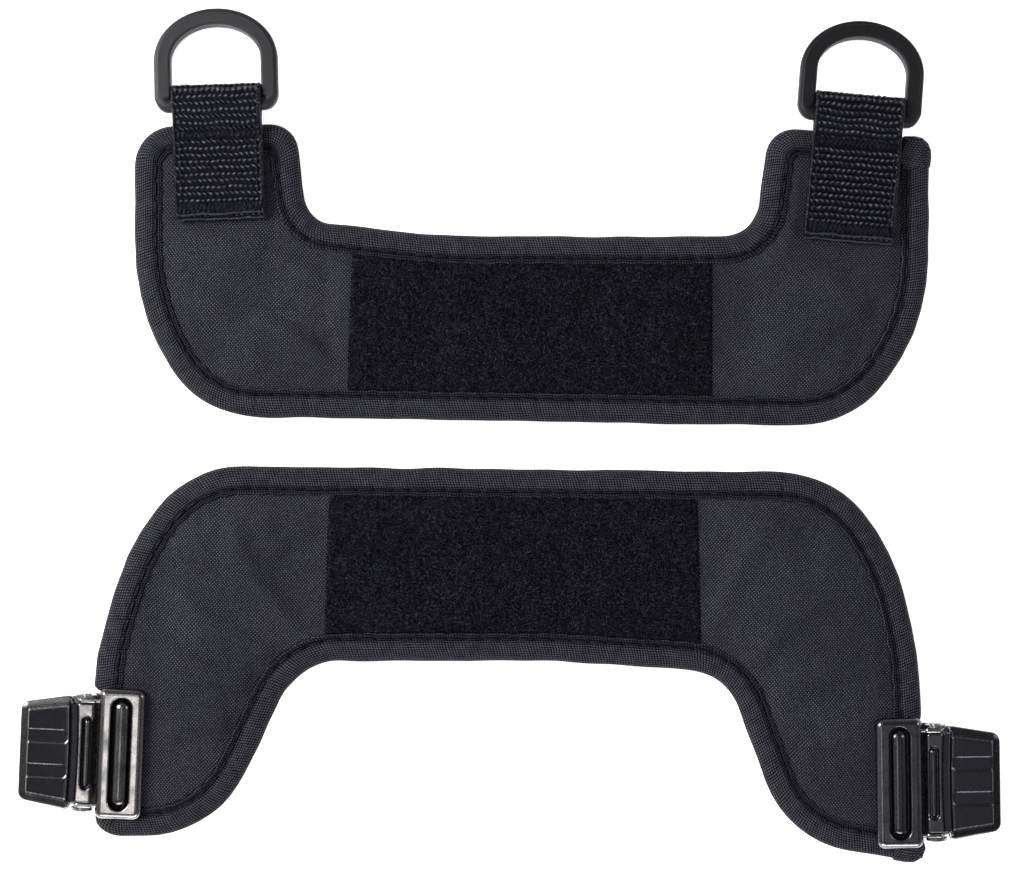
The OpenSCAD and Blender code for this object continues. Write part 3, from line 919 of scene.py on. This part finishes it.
def tape_end(prefix, rail, base, grow, fill, most, swell_run):
    """The binding's overlapped end: a second layer of tape wrapped over the first, where the
    band's edge runs through the CAD tab's box grown by (left, down, right, up). Its outer edge
    stands out to the tab's box grown by fill, and by no more than most."""
    low, high = (np.array(corner[:2]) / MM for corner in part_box(f"{prefix}_binding_tab"))
    left, down, right, up = *(low - fill[:2]), *(high + fill[2:])
    tab = np.array([(left, down), (right, down), (right, up), (left, up)])
    low, high = low - grow[:2], high + grow[2:]
    edge = rail.at(0)
    index = np.nonzero(np.all((edge > low) & (edge < high), axis=1))[0]
    split = np.argmax(np.diff(np.append(index, index[0] + len(edge)))) + 1
    index = np.roll(index, -split)
    rows, middle = len(index), BAND_T / 2
    along = np.arange(rows) * rail.length / len(edge)
    reach = ray_reach(edge[index], rail.out[index], tab, 0.0)
    reach = np.minimum(np.where(reach > TAB_REACH, 0.0, reach), most)
    spread = np.exp(-0.5 * (np.arange(-6, 7) / 1.2) ** 2)
    reach = np.convolve(np.pad(reach, 6, "edge"), spread / spread.sum(), "valid")
    reach *= smoothstep(along, -0.5, swell_run[0]) * smoothstep(along[-1] - along, -1.0, swell_run[1])
    outer = np.array(TAPE_OUTER)
    side = np.sign(outer[:, 1] - middle)
    profile = np.vstack([outer, outer[::-1]])
    n, m = len(profile), len(outer)
    verts = np.empty((rows, n, 3))
    for k, (d, z) in enumerate(profile):
        skin = k < m
        level = side[k] if skin else side[n - 1 - k]
        push = (0.3 + reach if skin else np.full(rows, 0.05)) * bell(d, 4.0)
        verts[:, k, :2] = edge_at(rail, d, index) + rail.out[index] * push[:, None]
        verts[:, k, 2] = base + np.clip(z + level * (0.42 if skin else 0.04), 0.02, None)
    faces = [list(f) for f in grid_faces(rows, n, False, True)]
    faces += [list(range(n)), [(rows - 1) * n + k for k in range(n)][::-1]]
    grain = verts[:, :, :2] @ rail.out[index[rows // 2]][:, None]
    uv = np.empty((rows, n, 2))
    uv[:, :, 0] = verts[:, :, 1] + 0.5 * verts[:, :, 2]
    uv[:, :, 1] = 9.0 + np.abs(grain[:, :, 0]) + 0.5 * verts[:, :, 2]
    mesh_piece(f"{prefix}_tape_end", verts.reshape(-1, 3), faces, BINDING, f"{prefix}_band",
               "binding", [f"{prefix}_binding_tab"], uv.reshape(-1, 2))


def edge_at(rail, d, index):
    return rail.at(np.full((len(rail.seam), 1), d))[index]


# ---------------------------------------------------------------- webbing and rings

def webbing_end(side):
    """Where the sewn webbing is cut off."""
    return PAD_EDGE - SEWN[side]


def webbing_line(side):
    """Centre line of the webbing, as (distance outwards from the fold's centre, height)."""
    sewn = np.linspace(webbing_end(side), -14.0, 3)
    low = [(u, 5.95) for u in sewn - [1.0, 0.5, 0]]
    high = [(u, 7.32) for u in sewn[::-1]]
    fold = [
        (-9.0, 5.75), (-6.0, 4.55), (-3.6, 3.15), (-1.6, 2.62), (0.2, 2.65), (2.2, 3.5), (3.2, 5.6),
        (2.4, 7.9), (0.2, 8.98), (-2.0, 8.95), (-5.0, 8.35), (-9.0, 7.5),
    ]
    return low + fold + high


def spline(points, step):
    """A smooth open curve through the points, at even spacing."""
    p = np.array(points, float)
    p = np.vstack([2 * p[0] - p[1], p, 2 * p[-1] - p[-2]])
    fine = []
    t = np.linspace(0, 1, 24, endpoint=False)[:, None]
    for a, b, c, d in zip(p, p[1:], p[2:], p[3:]):
        fine.append(0.5 * (2 * b + (c - a) * t + (2 * a - 5 * b + 4 * c - d) * t ** 2
                           + (3 * b - a - 3 * c + d) * t ** 3))
    fine = np.vstack(fine + [p[-2:-1]])
    s = path_length(fine)
    at = np.linspace(0, s[-1], int(s[-1] / step))
    return at_length(at, s, fine), at


def knuckles(s, v):
    """Height of the webbing's yarns: rows of beads that lean each way in turn."""
    row = np.floor(s / ROW_PITCH)
    across = (s / ROW_PITCH - row - 0.5) * 2
    lean = np.where(row % 2 == 0, 0.34, -0.34)
    c = v / YARN_PITCH + lean * across + 0.5 * (row % 2)
    c = (c - np.round(c)) * 2
    bead = np.sqrt(np.clip(1 - (across / 0.66) ** 2 - (c / 0.82) ** 2, 0, 1))
    groove = 0.30 * bell(np.abs(across) - 1, 0.25)
    selvage = smoothstep(np.abs(v), 11.5, 11.8)
    wrap = (2 * s / ROW_PITCH) % 1 - 0.5
    cord = 0.25 + 0.7 * np.sqrt(np.clip(1 - (wrap / 0.52) ** 2, 0, 1))
    return (bead - groove) * (1 - selvage) + cord * selvage


def webbing(side):
    """Webbing folded round the ring's bar, its yarns as relief on both faces."""
    place = RINGS[side]
    line, s = spline(webbing_line(side), 0.2)
    tangent = unit(np.gradient(line, axis=0))
    normal = np.stack([tangent[:, 1], -tangent[:, 0]], 1)
    v = np.linspace(-WEBBING_W / 2, WEBBING_W / 2, 121)
    grid_s, grid_v = np.meshgrid(s, v, indexing="ij")
    wobble = Waves(53, 7)(grid_s, grid_v)
    rise = knuckles(grid_s + 0.22 * wobble, grid_v + 0.25 * Waves(54, 6)(grid_s, grid_v))
    relief = rise.copy()
    rise *= 0.40 * (1 + 0.25 * Waves(55, 2.4)(grid_s, grid_v))
    edge = smoothstep(np.abs(grid_v), WEBBING_W / 2, WEBBING_W / 2 - 0.5)
    # Dense tacks press the weave flat at the pad's edge and before the cut end
    tack = bell(line[:, 0] - PAD_EDGE + 2.6, 1.3) * (s > s[-1] / 2)
    last = smoothstep(s[-1] - s, 3.8, 2.8)
    pressed = np.maximum(tack, last)[:, None]
    rise = rise * (1 - 0.85 * pressed) + pressed * 0.10 * Waves(51, 1.1)(grid_s, grid_v)
    half = (WEBBING_T / 2 - 0.3) * (0.35 + 0.65 * edge) + rise * edge
    ends = np.minimum(smoothstep(s, 0, 0.5), smoothstep(s[-1] - s, 0, 0.5))[:, None]
    half *= 0.5 + 0.5 * ends
    narrow = 1 - 0.018 * bell(line[:, 0] + 5.0, 3.5)[:, None]
    sheets = []
    for sign in (1.0, -1.0):
        offset = half * sign
        u = line[:, :1] + normal[:, :1] * -offset
        z = line[:, 1:] + normal[:, 1:] * -offset
        sheets.append(np.stack([u, grid_v * narrow, z], -1))
    rows, cols = grid_s.shape
    top = grid_faces(rows, cols)
    n = rows * cols
    border = np.concatenate([np.arange(cols), np.arange(1, rows) * cols + cols - 1,
                             (rows - 1) * cols + np.arange(cols - 2, -1, -1),
                             np.arange(rows - 2, 0, -1) * cols])
    nxt = np.roll(border, -1)
    rim = np.stack([border, nxt, nxt + n, border + n], 1)
    faces = [*top[:, ::-1], *(top + n), *rim[:, ::-1]]
    verts = place.world(np.vstack([sheets[0].reshape(-1, 3), sheets[1].reshape(-1, 3)]))
    verts[:, 2] = np.maximum(verts[:, 2], 0.6)
    # The relief passed on in the UV places the painted highlight on the float tops; it is weaker where
    # the weave is pressed flat and on the selvage cords
    relief *= 1 - 0.6 * pressed - 0.22 * smoothstep(np.abs(grid_v), 11.4, 11.8)
    relief = (relief * (0.9 + 0.14 * Waves(56, 2.1)(grid_s, grid_v))).ravel()
    uv = np.tile(np.stack([relief, relief], 1), (2, 1))
    mesh_piece(f"{side}_webbing_loop", verts, faces, WEBBING, "upper_band", "webbing",
               [f"{side}_ring_webbing"], uv)
    melted_ends(side)


def melted_ends(side):
    """The cut ends of both layers, melted into a wavy bead."""
    place = RINGS[side]
    end = webbing_end(side)
    pile = Pile()
    v = np.linspace(-12.2, 12.2, 120)
    flat = np.zeros(len(v))
    for k, (u, z) in enumerate(((end + 0.1, 7.62), (end - 1.1, 6.2))):
        wave = Waves(56 + k, 9)(v, flat) * 0.28 + Waves(58 + k, 2.2)(v, flat) * 0.08
        radius = 0.30 + 0.09 * Waves(60 + k, 2.5)(v, flat)
        path = place.world(np.column_stack([u + wave, v, flat + z]))
        pile.add(*tube(path, np.clip(radius, 0.18, 0.5), 9))
    pile.piece(f"{side}_webbing_ends", MELTED, "upper_band", "webbing", [f"{side}_ring_webbing"])


def webbing_threads(side):
    """Zigzag tacks across both ends of the sewn stretch, and a line of stitches up each side."""
    place = RINGS[side]
    end = webbing_end(side)
    local = np.random.default_rng(52)
    pile = Pile()
    top, pitch, edge = 8.06, 2.6, 10.6
    for v in (-edge, edge):
        for k in range(int((SEWN[side] - 7) / pitch)):
            t = np.linspace(0, 1, 7)
            u = PAD_EDGE - 4.2 - (k + 0.1 + 0.8 * t) * pitch
            z = top + 0.10 * np.sin(PI * t) - 0.08
            pile.add(*tube(place.world(np.column_stack([u, np.full(7, v), z])), 0.17, 6))
    zigzags = ((end + 2.3, 0.95, 40), (end + 1.5, 0.7, 34), (PAD_EDGE - 2.6, 0.8, 36))
    for centre, tall, turns in zigzags:
        corner = np.arange(turns + 1)
        v = -11.0 + 22.0 * corner / turns + local.normal(0, 0.12, turns + 1)
        u = centre + tall * ((corner % 2) * 2 - 1) + local.normal(0, 0.14, turns + 1)
        z = top - 0.16 + local.normal(0, 0.03, turns + 1)
        fine = np.linspace(0, turns, turns * 3 + 1)
        path = at_length(fine, corner, np.column_stack([u, v, z]))
        pile.add(*tube(place.world(path), 0.15, 5))
    pile.piece(f"{side}_tack_threads", THREAD, "upper_band", "thread", [f"{side}_webbing_stitches"])


def ring_line():
    """Centre line of the ring in its own plane, with y from the bar towards the arch. The
    outer edge is a half ellipse on straight legs."""
    half = (RING_W - RING_ARM) / 2
    outer, top = RING_W / 2, RING_H - RING_T / 2
    arch_base = top - RING_ARCH
    foot = 1.5
    t = np.linspace(0, PI, 60)
    normal = unit(np.stack([np.cos(t) / outer, np.sin(t) / RING_ARCH], 1))
    arch = np.stack([outer * np.cos(t), arch_base + RING_ARCH * np.sin(t)], 1)
    arch -= normal * RING_ARM / 2
    turn = np.linspace(0, PI / 2, 7)[1:-1]
    legs = np.linspace(foot, arch_base, 10)[:-1]
    points = np.vstack([
        np.column_stack([np.linspace(-half + foot, half - foot, 20), np.zeros(20)]),
        np.column_stack([half - foot + foot * np.sin(turn), foot - foot * np.cos(turn)]),
        np.column_stack([np.full(9, half), legs]),
        arch,
        np.column_stack([np.full(9, -half), legs[::-1]]),
        np.column_stack([-half + foot - foot * np.cos(turn), foot - foot * np.sin(turn)]),
    ])
    return soften(resample(points, 0.45), 1.2)


def ring_section():
    """Moulded section: a flat face, a stepped lip round the outside and a soft inner edge."""
    wide, tall = RING_ARM / 2, RING_T / 2
    a = np.linspace(0, PI / 2, 6)
    lip, step, soft = 0.75, 0.3, 0.55
    edge = wide - lip
    outside = [(edge + lip * math.cos(t), tall - step - lip + lip * math.sin(t)) for t in a]
    face = [
        (edge - 0.22, tall - step), (edge - 0.26, tall - step + 0.05), (edge - 0.34, tall - 0.05),
        (edge - 0.38, tall), (edge - 0.55, tall), (0.0, tall), (-wide + soft + 0.25, tall),
    ]
    inner = [(-wide + soft - soft * math.sin(t), tall - soft + soft * math.cos(t)) for t in a]
    upper_half = outside + face + inner
    return np.array(upper_half + [(x, -z) for x, z in upper_half[::-1]])


def ring(side):
    """A moulded D-ring, round where the webbing turns on its bar."""
    place = RINGS[side]
    line = ring_line()
    out = loop_normal(line)
    bar = smoothstep(line[:, 1], 2.4, 0.5)[:, None]
    section = ring_section()
    round_bar = unit(section) * (RING_T / 2)
    shape = section[None] * (1 - bar[:, :, None]) + round_bar[None] * bar[:, :, None]
    x = line[:, :1] + out[:, :1] * shape[:, :, 0]
    y = line[:, 1:] + out[:, 1:] * shape[:, :, 0]
    z = shape[:, :, 1]
    u = y * math.cos(RING_DROOP) + z * math.sin(RING_DROOP) - BAR_BACK[side]
    h = place.pin[2] - y * math.sin(RING_DROOP) + z * math.cos(RING_DROOP)
    verts = place.world(np.stack([u, x, h], -1).reshape(-1, 3))
    faces = grid_faces(len(line), len(section), True, True)[:, ::-1]
    mesh_piece(f"{side}_d_ring", verts, faces, PLASTIC[side], f"{side}_ring", "ring_plastic",
               [f"{side}_ring"])


# ---------------------------------------------------------------- clips

def rounded_outline(corners, step=0.4):
    """Closed points of a polygon whose corners are [x, y, radius], anticlockwise."""
    c = np.array(corners, float)
    points = []
    for i in range(len(c)):
        p, r = c[i, :2], c[i, 2]
        a, b = unit(c[i - 1, :2] - p), unit(c[(i + 1) % len(c), :2] - p)
        half = math.acos(float(np.clip(a @ b, -1, 1))) / 2
        start, end = p + a * r / math.tan(half), p + b * r / math.tan(half)
        centre = p + unit(a + b) * r / math.sin(half)
        t0 = math.atan2(*(start - centre)[::-1])
        sweep = (math.atan2(*(end - centre)[::-1]) - t0 + PI) % TAU - PI
        n = max(2, int(abs(sweep) * r / step) + 3)
        points += [centre + r * np.array([math.cos(t0 + sweep * k / n), math.sin(t0 + sweep * k / n)])
                   for k in range(n + 1)]
    return resample(np.array(points), step)


def obround(u, v, centre, width, length):
    """Signed distance to a slot with round ends, negative inside."""
    dv = np.maximum(np.abs(v) - (length - width) / 2, 0)
    return np.hypot(u - centre, dv) - width / 2


def stamped(name, place, corners, height, black, edge_r, skirt, material, body, replaced):
    """Sheet steel stamped to height(u, v), with its rim turned down and a wall thickness.
    black(u, v) is how dark the plate is painted, as painted shade and painted dark reflection.
    The turned-down rim and the underside carry painted shade, except the rim's lower end,
    which carries a painted highlight where the front lamp catches it."""
    rim = rounded_outline(corners)
    out = loop_normal(rim)
    inner = rim - out * edge_r
    xy, tris = fill_loop(inner, 0.24)
    n, m = len(xy), len(rim)
    top = height(xy[:, 0], xy[:, 1])
    border = top[:m]
    tone = black(xy[:, 0], xy[:, 1])
    tones = [tone]
    # Painted shade on the turned-down rim and flanges, lifted to a painted highlight at their lower end
    # where the front lamp catches them
    down = place.world(np.column_stack([rim, np.zeros(m)]))[:, 1]
    front_lit = smoothstep(down - down.min(), 1.9, 1.0)
    flange = np.maximum(tone[:m], FLANGE_PAINTED_SHADE) * (1 - 0.85 * front_lit)
    blocks = [np.column_stack([xy, top])]
    for a in np.linspace(0, PI / 2, 6)[1:]:
        ring_xy = inner + out * edge_r * math.sin(a)
        blocks.append(np.column_stack([ring_xy, border - edge_r * (1 - math.cos(a))]))
    low = border.max() - skirt
    for d, z in ((edge_r, low + 0.12), (edge_r - 0.12, low), (edge_r - SHEET_T + 0.12, low),
                 (edge_r - SHEET_T, low + 0.12), (edge_r - SHEET_T, None)):
        level = border - SHEET_T - 0.1 if z is None else np.full(m, z)
        blocks.append(np.column_stack([inner + out * d, level]))
    start = n
    rings = [np.arange(m)]
    for _ in blocks[1:]:
        rings.append(np.arange(m) + start)
        tones.append(flange)
        start += m
    blocks.append(np.column_stack([xy, top - SHEET_T]))
    # Painted shade on the underside
    tones.append(np.full(n, 0.6))
    faces = [list(t) for t in tris]
    rings.append(np.arange(m) + start)
    for a, b in zip(rings, rings[1:]):
        faces += np.stack([a, b, np.roll(b, -1), np.roll(a, -1)], 1).tolist()
    faces += (tris[:, ::-1] + start).tolist()
    verts = place.world(np.vstack(blocks))
    # How dark each vertex is painted, as painted shade, painted dark reflection and painted highlight
    finish = np.concatenate(tones)
    mesh_piece(name, verts, faces, material, body, "black_nickel", [replaced],
               np.column_stack([finish, finish]))


def rounded_bar(gap, radius):
    """Height of a half-round rib, from the distance to its edge."""
    return radius * np.sqrt(np.clip(1 - ((gap + radius) / radius) ** 2, 0, 1)) * (gap < 0)


def jaw_height(u, v):
    """A slightly waved plate with a long well and a half-round bar in it."""
    well = obround(u, v, *JAW_WELL)
    z = CLIP_TOP - 0.03 + 0.05 * np.sin((u + 1) * 0.28) - 2.0 * smoothstep(well, 0.12, -0.55)
    bar = obround(u, v, JAW_WELL[0], *JAW_BAR)
    return z + 0.75 * rounded_bar(bar, JAW_BAR[0] / 2)


def jaw_painted_shade(u, v):
    # Painted shade in the well, less on the bar in it
    bar = smoothstep(obround(u, v, JAW_WELL[0], *JAW_BAR), 0.0, -0.5)
    return smoothstep(obround(u, v, *JAW_WELL), 0.25, -0.15) - 0.3 * bar


def lever_parts(u, v):
    """The strip's slot and its bar, the curved groove, the platform with its inner end and
    half width, and the distance to its flutes."""
    slot = obround(u, v, *LEVER_WELL)
    bar = obround(u, v, LEVER_WELL[0], *LEVER_BAR)
    bow = (v / 14) ** 2
    start = 7.45 + 0.35 * bow
    groove = smoothstep(u, 4.75 + 0.45 * bow, 5.3 + 0.45 * bow) * smoothstep(u - start, 0.1, -0.35)
    groove = groove * smoothstep(14.6 - np.abs(v), -0.4, 1.2)
    half = 12.8 - (u - 8.6) * 0.135
    within = smoothstep(half - np.abs(v), -0.16, 0.16)
    platform = smoothstep(u - start, -0.25, 0.5) * smoothstep(u, 19.15, 18.85) * within
    flute = np.full(np.shape(u), 9.0)
    for centre in FLUTES:
        off = np.abs(v - centre)
        one = np.maximum(off - 1.9, start + 1.3 - u)
        rounded = np.hypot(np.maximum(off - 0.6, 0), np.maximum(start + 1.6 - u, 0)) - 1.3
        one = np.where(u < start + 1.6, np.maximum(rounded, one - 1.2), one)
        flute = np.minimum(flute, one)
    return slot, bar, groove, platform, start, half, flute


def lever_height(u, v):
    """The strip over the hinge, a curved groove, then the fluted platform and its rim."""
    slot, bar, groove, platform, _, half, flute = lever_parts(u, v)
    z = CLIP_TOP - 0.12 * smoothstep(u, 1.8, 0.9) ** 2 - TILT * np.maximum(u - 7, 0)
    z = z - 1.0 * smoothstep(slot, 0.10, -0.45) + 0.9 * rounded_bar(bar, LEVER_BAR[0] / 2)
    z = z - 1.15 * groove + 0.5 * platform - 0.30 * smoothstep(flute, 0.14, -0.14) * platform
    side = smoothstep(np.abs(v) - half, 0.5, 3.2) * smoothstep(u, 4.4, 7.0)
    return z - 0.30 * side - 0.20 * smoothstep(u, 19.2, 21.0)


def lever_painted_dark(u, v):
    """Painted shade in the wells and the groove, painted dark reflection on the platform and
    rim, painted reflection on the rim's sloped sides and painted highlights along the
    platform's edges and flutes.
    """
    slot, bar, groove, platform, start, half, flute = lever_parts(u, v)
    # Painted reflection on the rim's sloped sides
    rim_reflection = smoothstep(np.abs(v) - half, 0.4, 2.0) * smoothstep(u, 6.8, 8.0)
    rim = 0.82 * smoothstep(u, 4.6, 5.6) - 0.25 * rim_reflection
    across = smoothstep(half - np.abs(v), -0.3, 0.1)
    along = smoothstep(u - start, -0.2, 0.3) * smoothstep(u, 19.3, 18.9)
    # Painted highlights along the platform's edges and flutes
    edge_highlight = np.maximum.reduce([
        bell(u - start - 0.3, 0.22) * across, bell(u - 19.0, 0.16) * across,
        bell(half - np.abs(v), 0.16) * along, bell(flute, 0.14) * platform,
    ])
    # Painted shade in the slot, less on its bar
    well = smoothstep(slot, 0.22, -0.15) - 0.35 * smoothstep(bar, 0.0, -0.3)
    black = np.maximum.reduce([well, groove, platform, rim])
    return black - LEVER_EDGE_HIGHLIGHT * edge_highlight


def clip(side):
    """One clip: two stamped plates with lugs on the pin, and the CAD's back plate and pin."""
    place, material, least = CLIPS[side], NICKEL[side], PLATE_PAINTED_DARK[side]

    # least is painted dark reflection over the whole of this clip's plates: none on the left clip, most
    # of the way to black on the right
    def toned(black):
        return lambda u, v: least + (1 - least) * black(u, v)

    stamped(f"{side}_jaw_plate", place, JAW_OUTLINE, jaw_height, toned(jaw_painted_shade), 1.9, 2.1,
            material, f"{side}_jaw", f"{side}_clip_jaw")
    stamped(f"{side}_lever_plate", place, LEVER_OUTLINE, lever_height, toned(lever_painted_dark), 0.6, 2.4,
            material, f"{side}_lever", f"{side}_clip_lever")
    lever, jaw = Pile(), Pile()
    cheek = [(PIN_U, PIN_Z, 2.2), (4.6, 6.4, 1.0), (2.6, 6.4, 1.0)]
    knuckle = [(PIN_U, PIN_Z, 2.4), (4.5, 7.35, 0.9), (1.4, 7.35, 0.9)]
    arm = [(PIN_U, PIN_Z, 2.0), (-0.9, 6.9, 0.55)]
    for sign in (-1.0, 1.0):
        disc(lever, place, cheek, sign * CHEEK_V, 0.8)
        disc(jaw, place, knuckle, sign * KNUCKLE_V, 1.0)
        disc(jaw, place, arm, sign * KNUCKLE_V, 0.78)
    lever.piece(f"{side}_lever_cheeks", material, f"{side}_lever", "black_nickel",
                [f"{side}_clip_lever"])
    jaw.piece(f"{side}_jaw_knuckles", material, f"{side}_jaw", "black_nickel",
              [f"{side}_clip_jaw"])
    for node in (f"{side}_clip_back", f"{side}_clip_pin"):
        obj = frame["nodes"][node]
        obj.data.materials.clear()
        obj.data.materials.append(material)
        bevel = obj.modifiers.new("edges", "BEVEL")
        bevel.width = 0.12 * MM
        bevel.segments = 2
        bevel.limit_method = "ANGLE"


def disc(pile, place, circles, v, thick):
    """A flat lug standing across the hinge: the outline round some circles."""
    points = np.vstack([
        [(u + r * math.cos(a), z + r * math.sin(a)) for a in np.linspace(0, TAU, 28, endpoint=False)]
        for u, z, r in circles
    ])
    hull = convex(points)
    n = len(hull)
    middle = hull.mean(0)
    rings = [(0.96, -0.5), (1.0, -0.44), (1.0, 0.44), (0.96, 0.5)]
    verts = np.vstack([
        np.column_stack([middle[0] + (hull[:, 0] - middle[0]) * k, np.full(n, v + t * thick),
                         middle[1] + (hull[:, 1] - middle[1]) * k])
        for k, t in rings
    ])
    faces = [list(f) for f in grid_faces(len(rings), n, False, True)]
    faces += [list(range(n))[::-1], [(len(rings) - 1) * n + i for i in range(n)]]
    pile.add(place.world(verts), faces)


def convex(points):
    """Convex hull, anticlockwise."""
    p = sorted(map(tuple, points))

    def half(seq):
        chain = []
        for q in seq:
            while len(chain) > 1 and ((chain[-1][0] - chain[-2][0]) * (q[1] - chain[-2][1])
                                      - (chain[-1][1] - chain[-2][1]) * (q[0] - chain[-2][0])) <= 0:
                chain.pop()
            chain.append(q)
        return chain[:-1]

    return np.array(half(p) + half(p[::-1]))


# ---------------------------------------------------------------- build

UPPER_FOLDS = Wrinkles([
    (-72, 34, -50, 20, 0.28, 2.6), (-90, 40, -70, 26, 0.22, 3.2), (-66, 50, -52, 44, 0.25, 2.2),
    (72, 50, 92, 44, 0.22, 2.8), (84, 28, 100, 36, 0.18, 3.0),
], 61)
LOWER_FOLDS = Wrinkles([
    (-62, -62, -94, -42, 0.38, 2.6), (-66, -70, -98, -58, 0.34, 2.8), (-58, -54, -78, -24, 0.30, 2.8),
    (-72, -80, -96, -78, 0.26, 3.0), (64, -66, 90, -44, 0.28, 3.0), (70, -76, 96, -62, 0.24, 3.2),
    (58, -50, 74, -22, 0.20, 3.0),
], 71)

TAPE_ENDS = {
    "upper": ((0, -3.4, 2, 4), (0, 0, 0.2, 2), 1.7, (5, 2)),
    "lower": ((1, 2, 2, 5), (1, -1.5, -0.1, 4), 6.0, (0.1, 4)),
}

bands = {"upper": band("upper", UPPER_FOLDS), "lower": band("lower", LOWER_FOLDS)}
for prefix, (rail, height, base) in bands.items():
    loop_patch(prefix, height)
for prefix, (rail, height, base) in bands.items():
    tape_end(prefix, rail, base, *TAPE_ENDS[prefix])

for side in ("left", "right"):
    webbing(side)
    webbing_threads(side)
    ring(side)
    clip(side)


# ---------------------------------------------------------------- stage, camera and lights

# Name, place and aim in metres, size, and power in watts. The panels are what the left clip,
# the rings and the right clip reflect.
LIGHTS = [
    ("key", (-0.75, 0.30, 0.62), (0, 0, 0), (0.35, 0.5), 13.5),
    ("fill", (0.80, 0.20, 0.60), (0, 0, 0), (0.25, 0.5), 2.2),
    ("front", (0.0, -0.85, 0.5), (0, 0, 0), (0.8, 0.2), 4.2),
    ("left_panel", (-0.31, -0.23, 1.2), (-0.12, -0.09, 0), (0.27, 0.27), 0.6),
    ("ring_panel", (-0.2, 0.24, 1.2), (-0.08, 0.09, 0), (0.24, 0.2), 0.3),
    ("right_panel", (0.34, -0.26, 1.2), (0.12, -0.09, 0), (0.3, 0.27), 0.13),
]
FLOOR_HALF = 4.0
FLOOR_GAP = 0.0003
SKY = (0.25, 0.9, 0.38, 0.05)
EYE = (0.00056, -0.00168, 0.798)


def area_light(name, place, aim, size, power):
    data = bpy.data.lights.new(name, "AREA")
    data.shape = "RECTANGLE"
    data.size, data.size_y = size
    data.energy = power
    obj = bpy.data.objects.new(name, data)
    obj.location = place
    obj.rotation_euler = (Vector(aim) - Vector(place)).to_track_quat("-Z", "Y").to_euler()
    bpy.context.scene.collection.objects.link(obj)


def stage():
    """The floor, the sky and the lights."""
    mesh = bpy.data.meshes.new("floor")
    half = FLOOR_HALF
    corners = [(-half, -half, 0), (half, -half, 0), (half, half, 0), (-half, half, 0)]
    mesh.from_pydata(corners, [], [(0, 1, 2, 3)])
    mesh.materials.append(floor_material())
    floor = bpy.data.objects.new("floor", mesh)
    floor.location.z = -FLOOR_GAP
    bpy.context.scene.collection.objects.link(floor)
    studio_world()
    for light in LIGHTS:
        area_light(*light)


def studio_world():
    """White near the horizon and dim overhead, as in a tent open at the top."""
    world = bpy.data.worlds.new("studio")
    bpy.context.scene.world = world
    world.use_nodes = True
    tree = world.node_tree
    back = tree.nodes["Background"]
    back.inputs[0].default_value = (0.97, 0.98, 1, 1)
    direction = tree.nodes.new("ShaderNodeTexCoord")
    parts = tree.nodes.new("ShaderNodeSeparateXYZ")
    tree.links.new(direction.outputs["Generated"], parts.inputs[0])
    ramp = tree.nodes.new("ShaderNodeMapRange")
    ramp.interpolation_type = "SMOOTHSTEP"
    for k, value in enumerate(SKY, 1):
        ramp.inputs[k].default_value = value
    tree.links.new(parts.outputs[2], ramp.inputs[0])
    tree.links.new(ramp.outputs[0], back.inputs[1])


def camera():
    """Straight above, as in the photograph."""
    data = bpy.data.cameras.new("camera")
    data.lens = 100
    data.sensor_width = 36
    data.clip_start = 0.01
    data.clip_end = 20
    obj = bpy.data.objects.new("camera", data)
    obj.location = EYE
    bpy.context.scene.collection.objects.link(obj)
    bpy.context.scene.camera = obj


stage()
camera()
bpy.context.scene.view_settings.view_transform = "Standard"
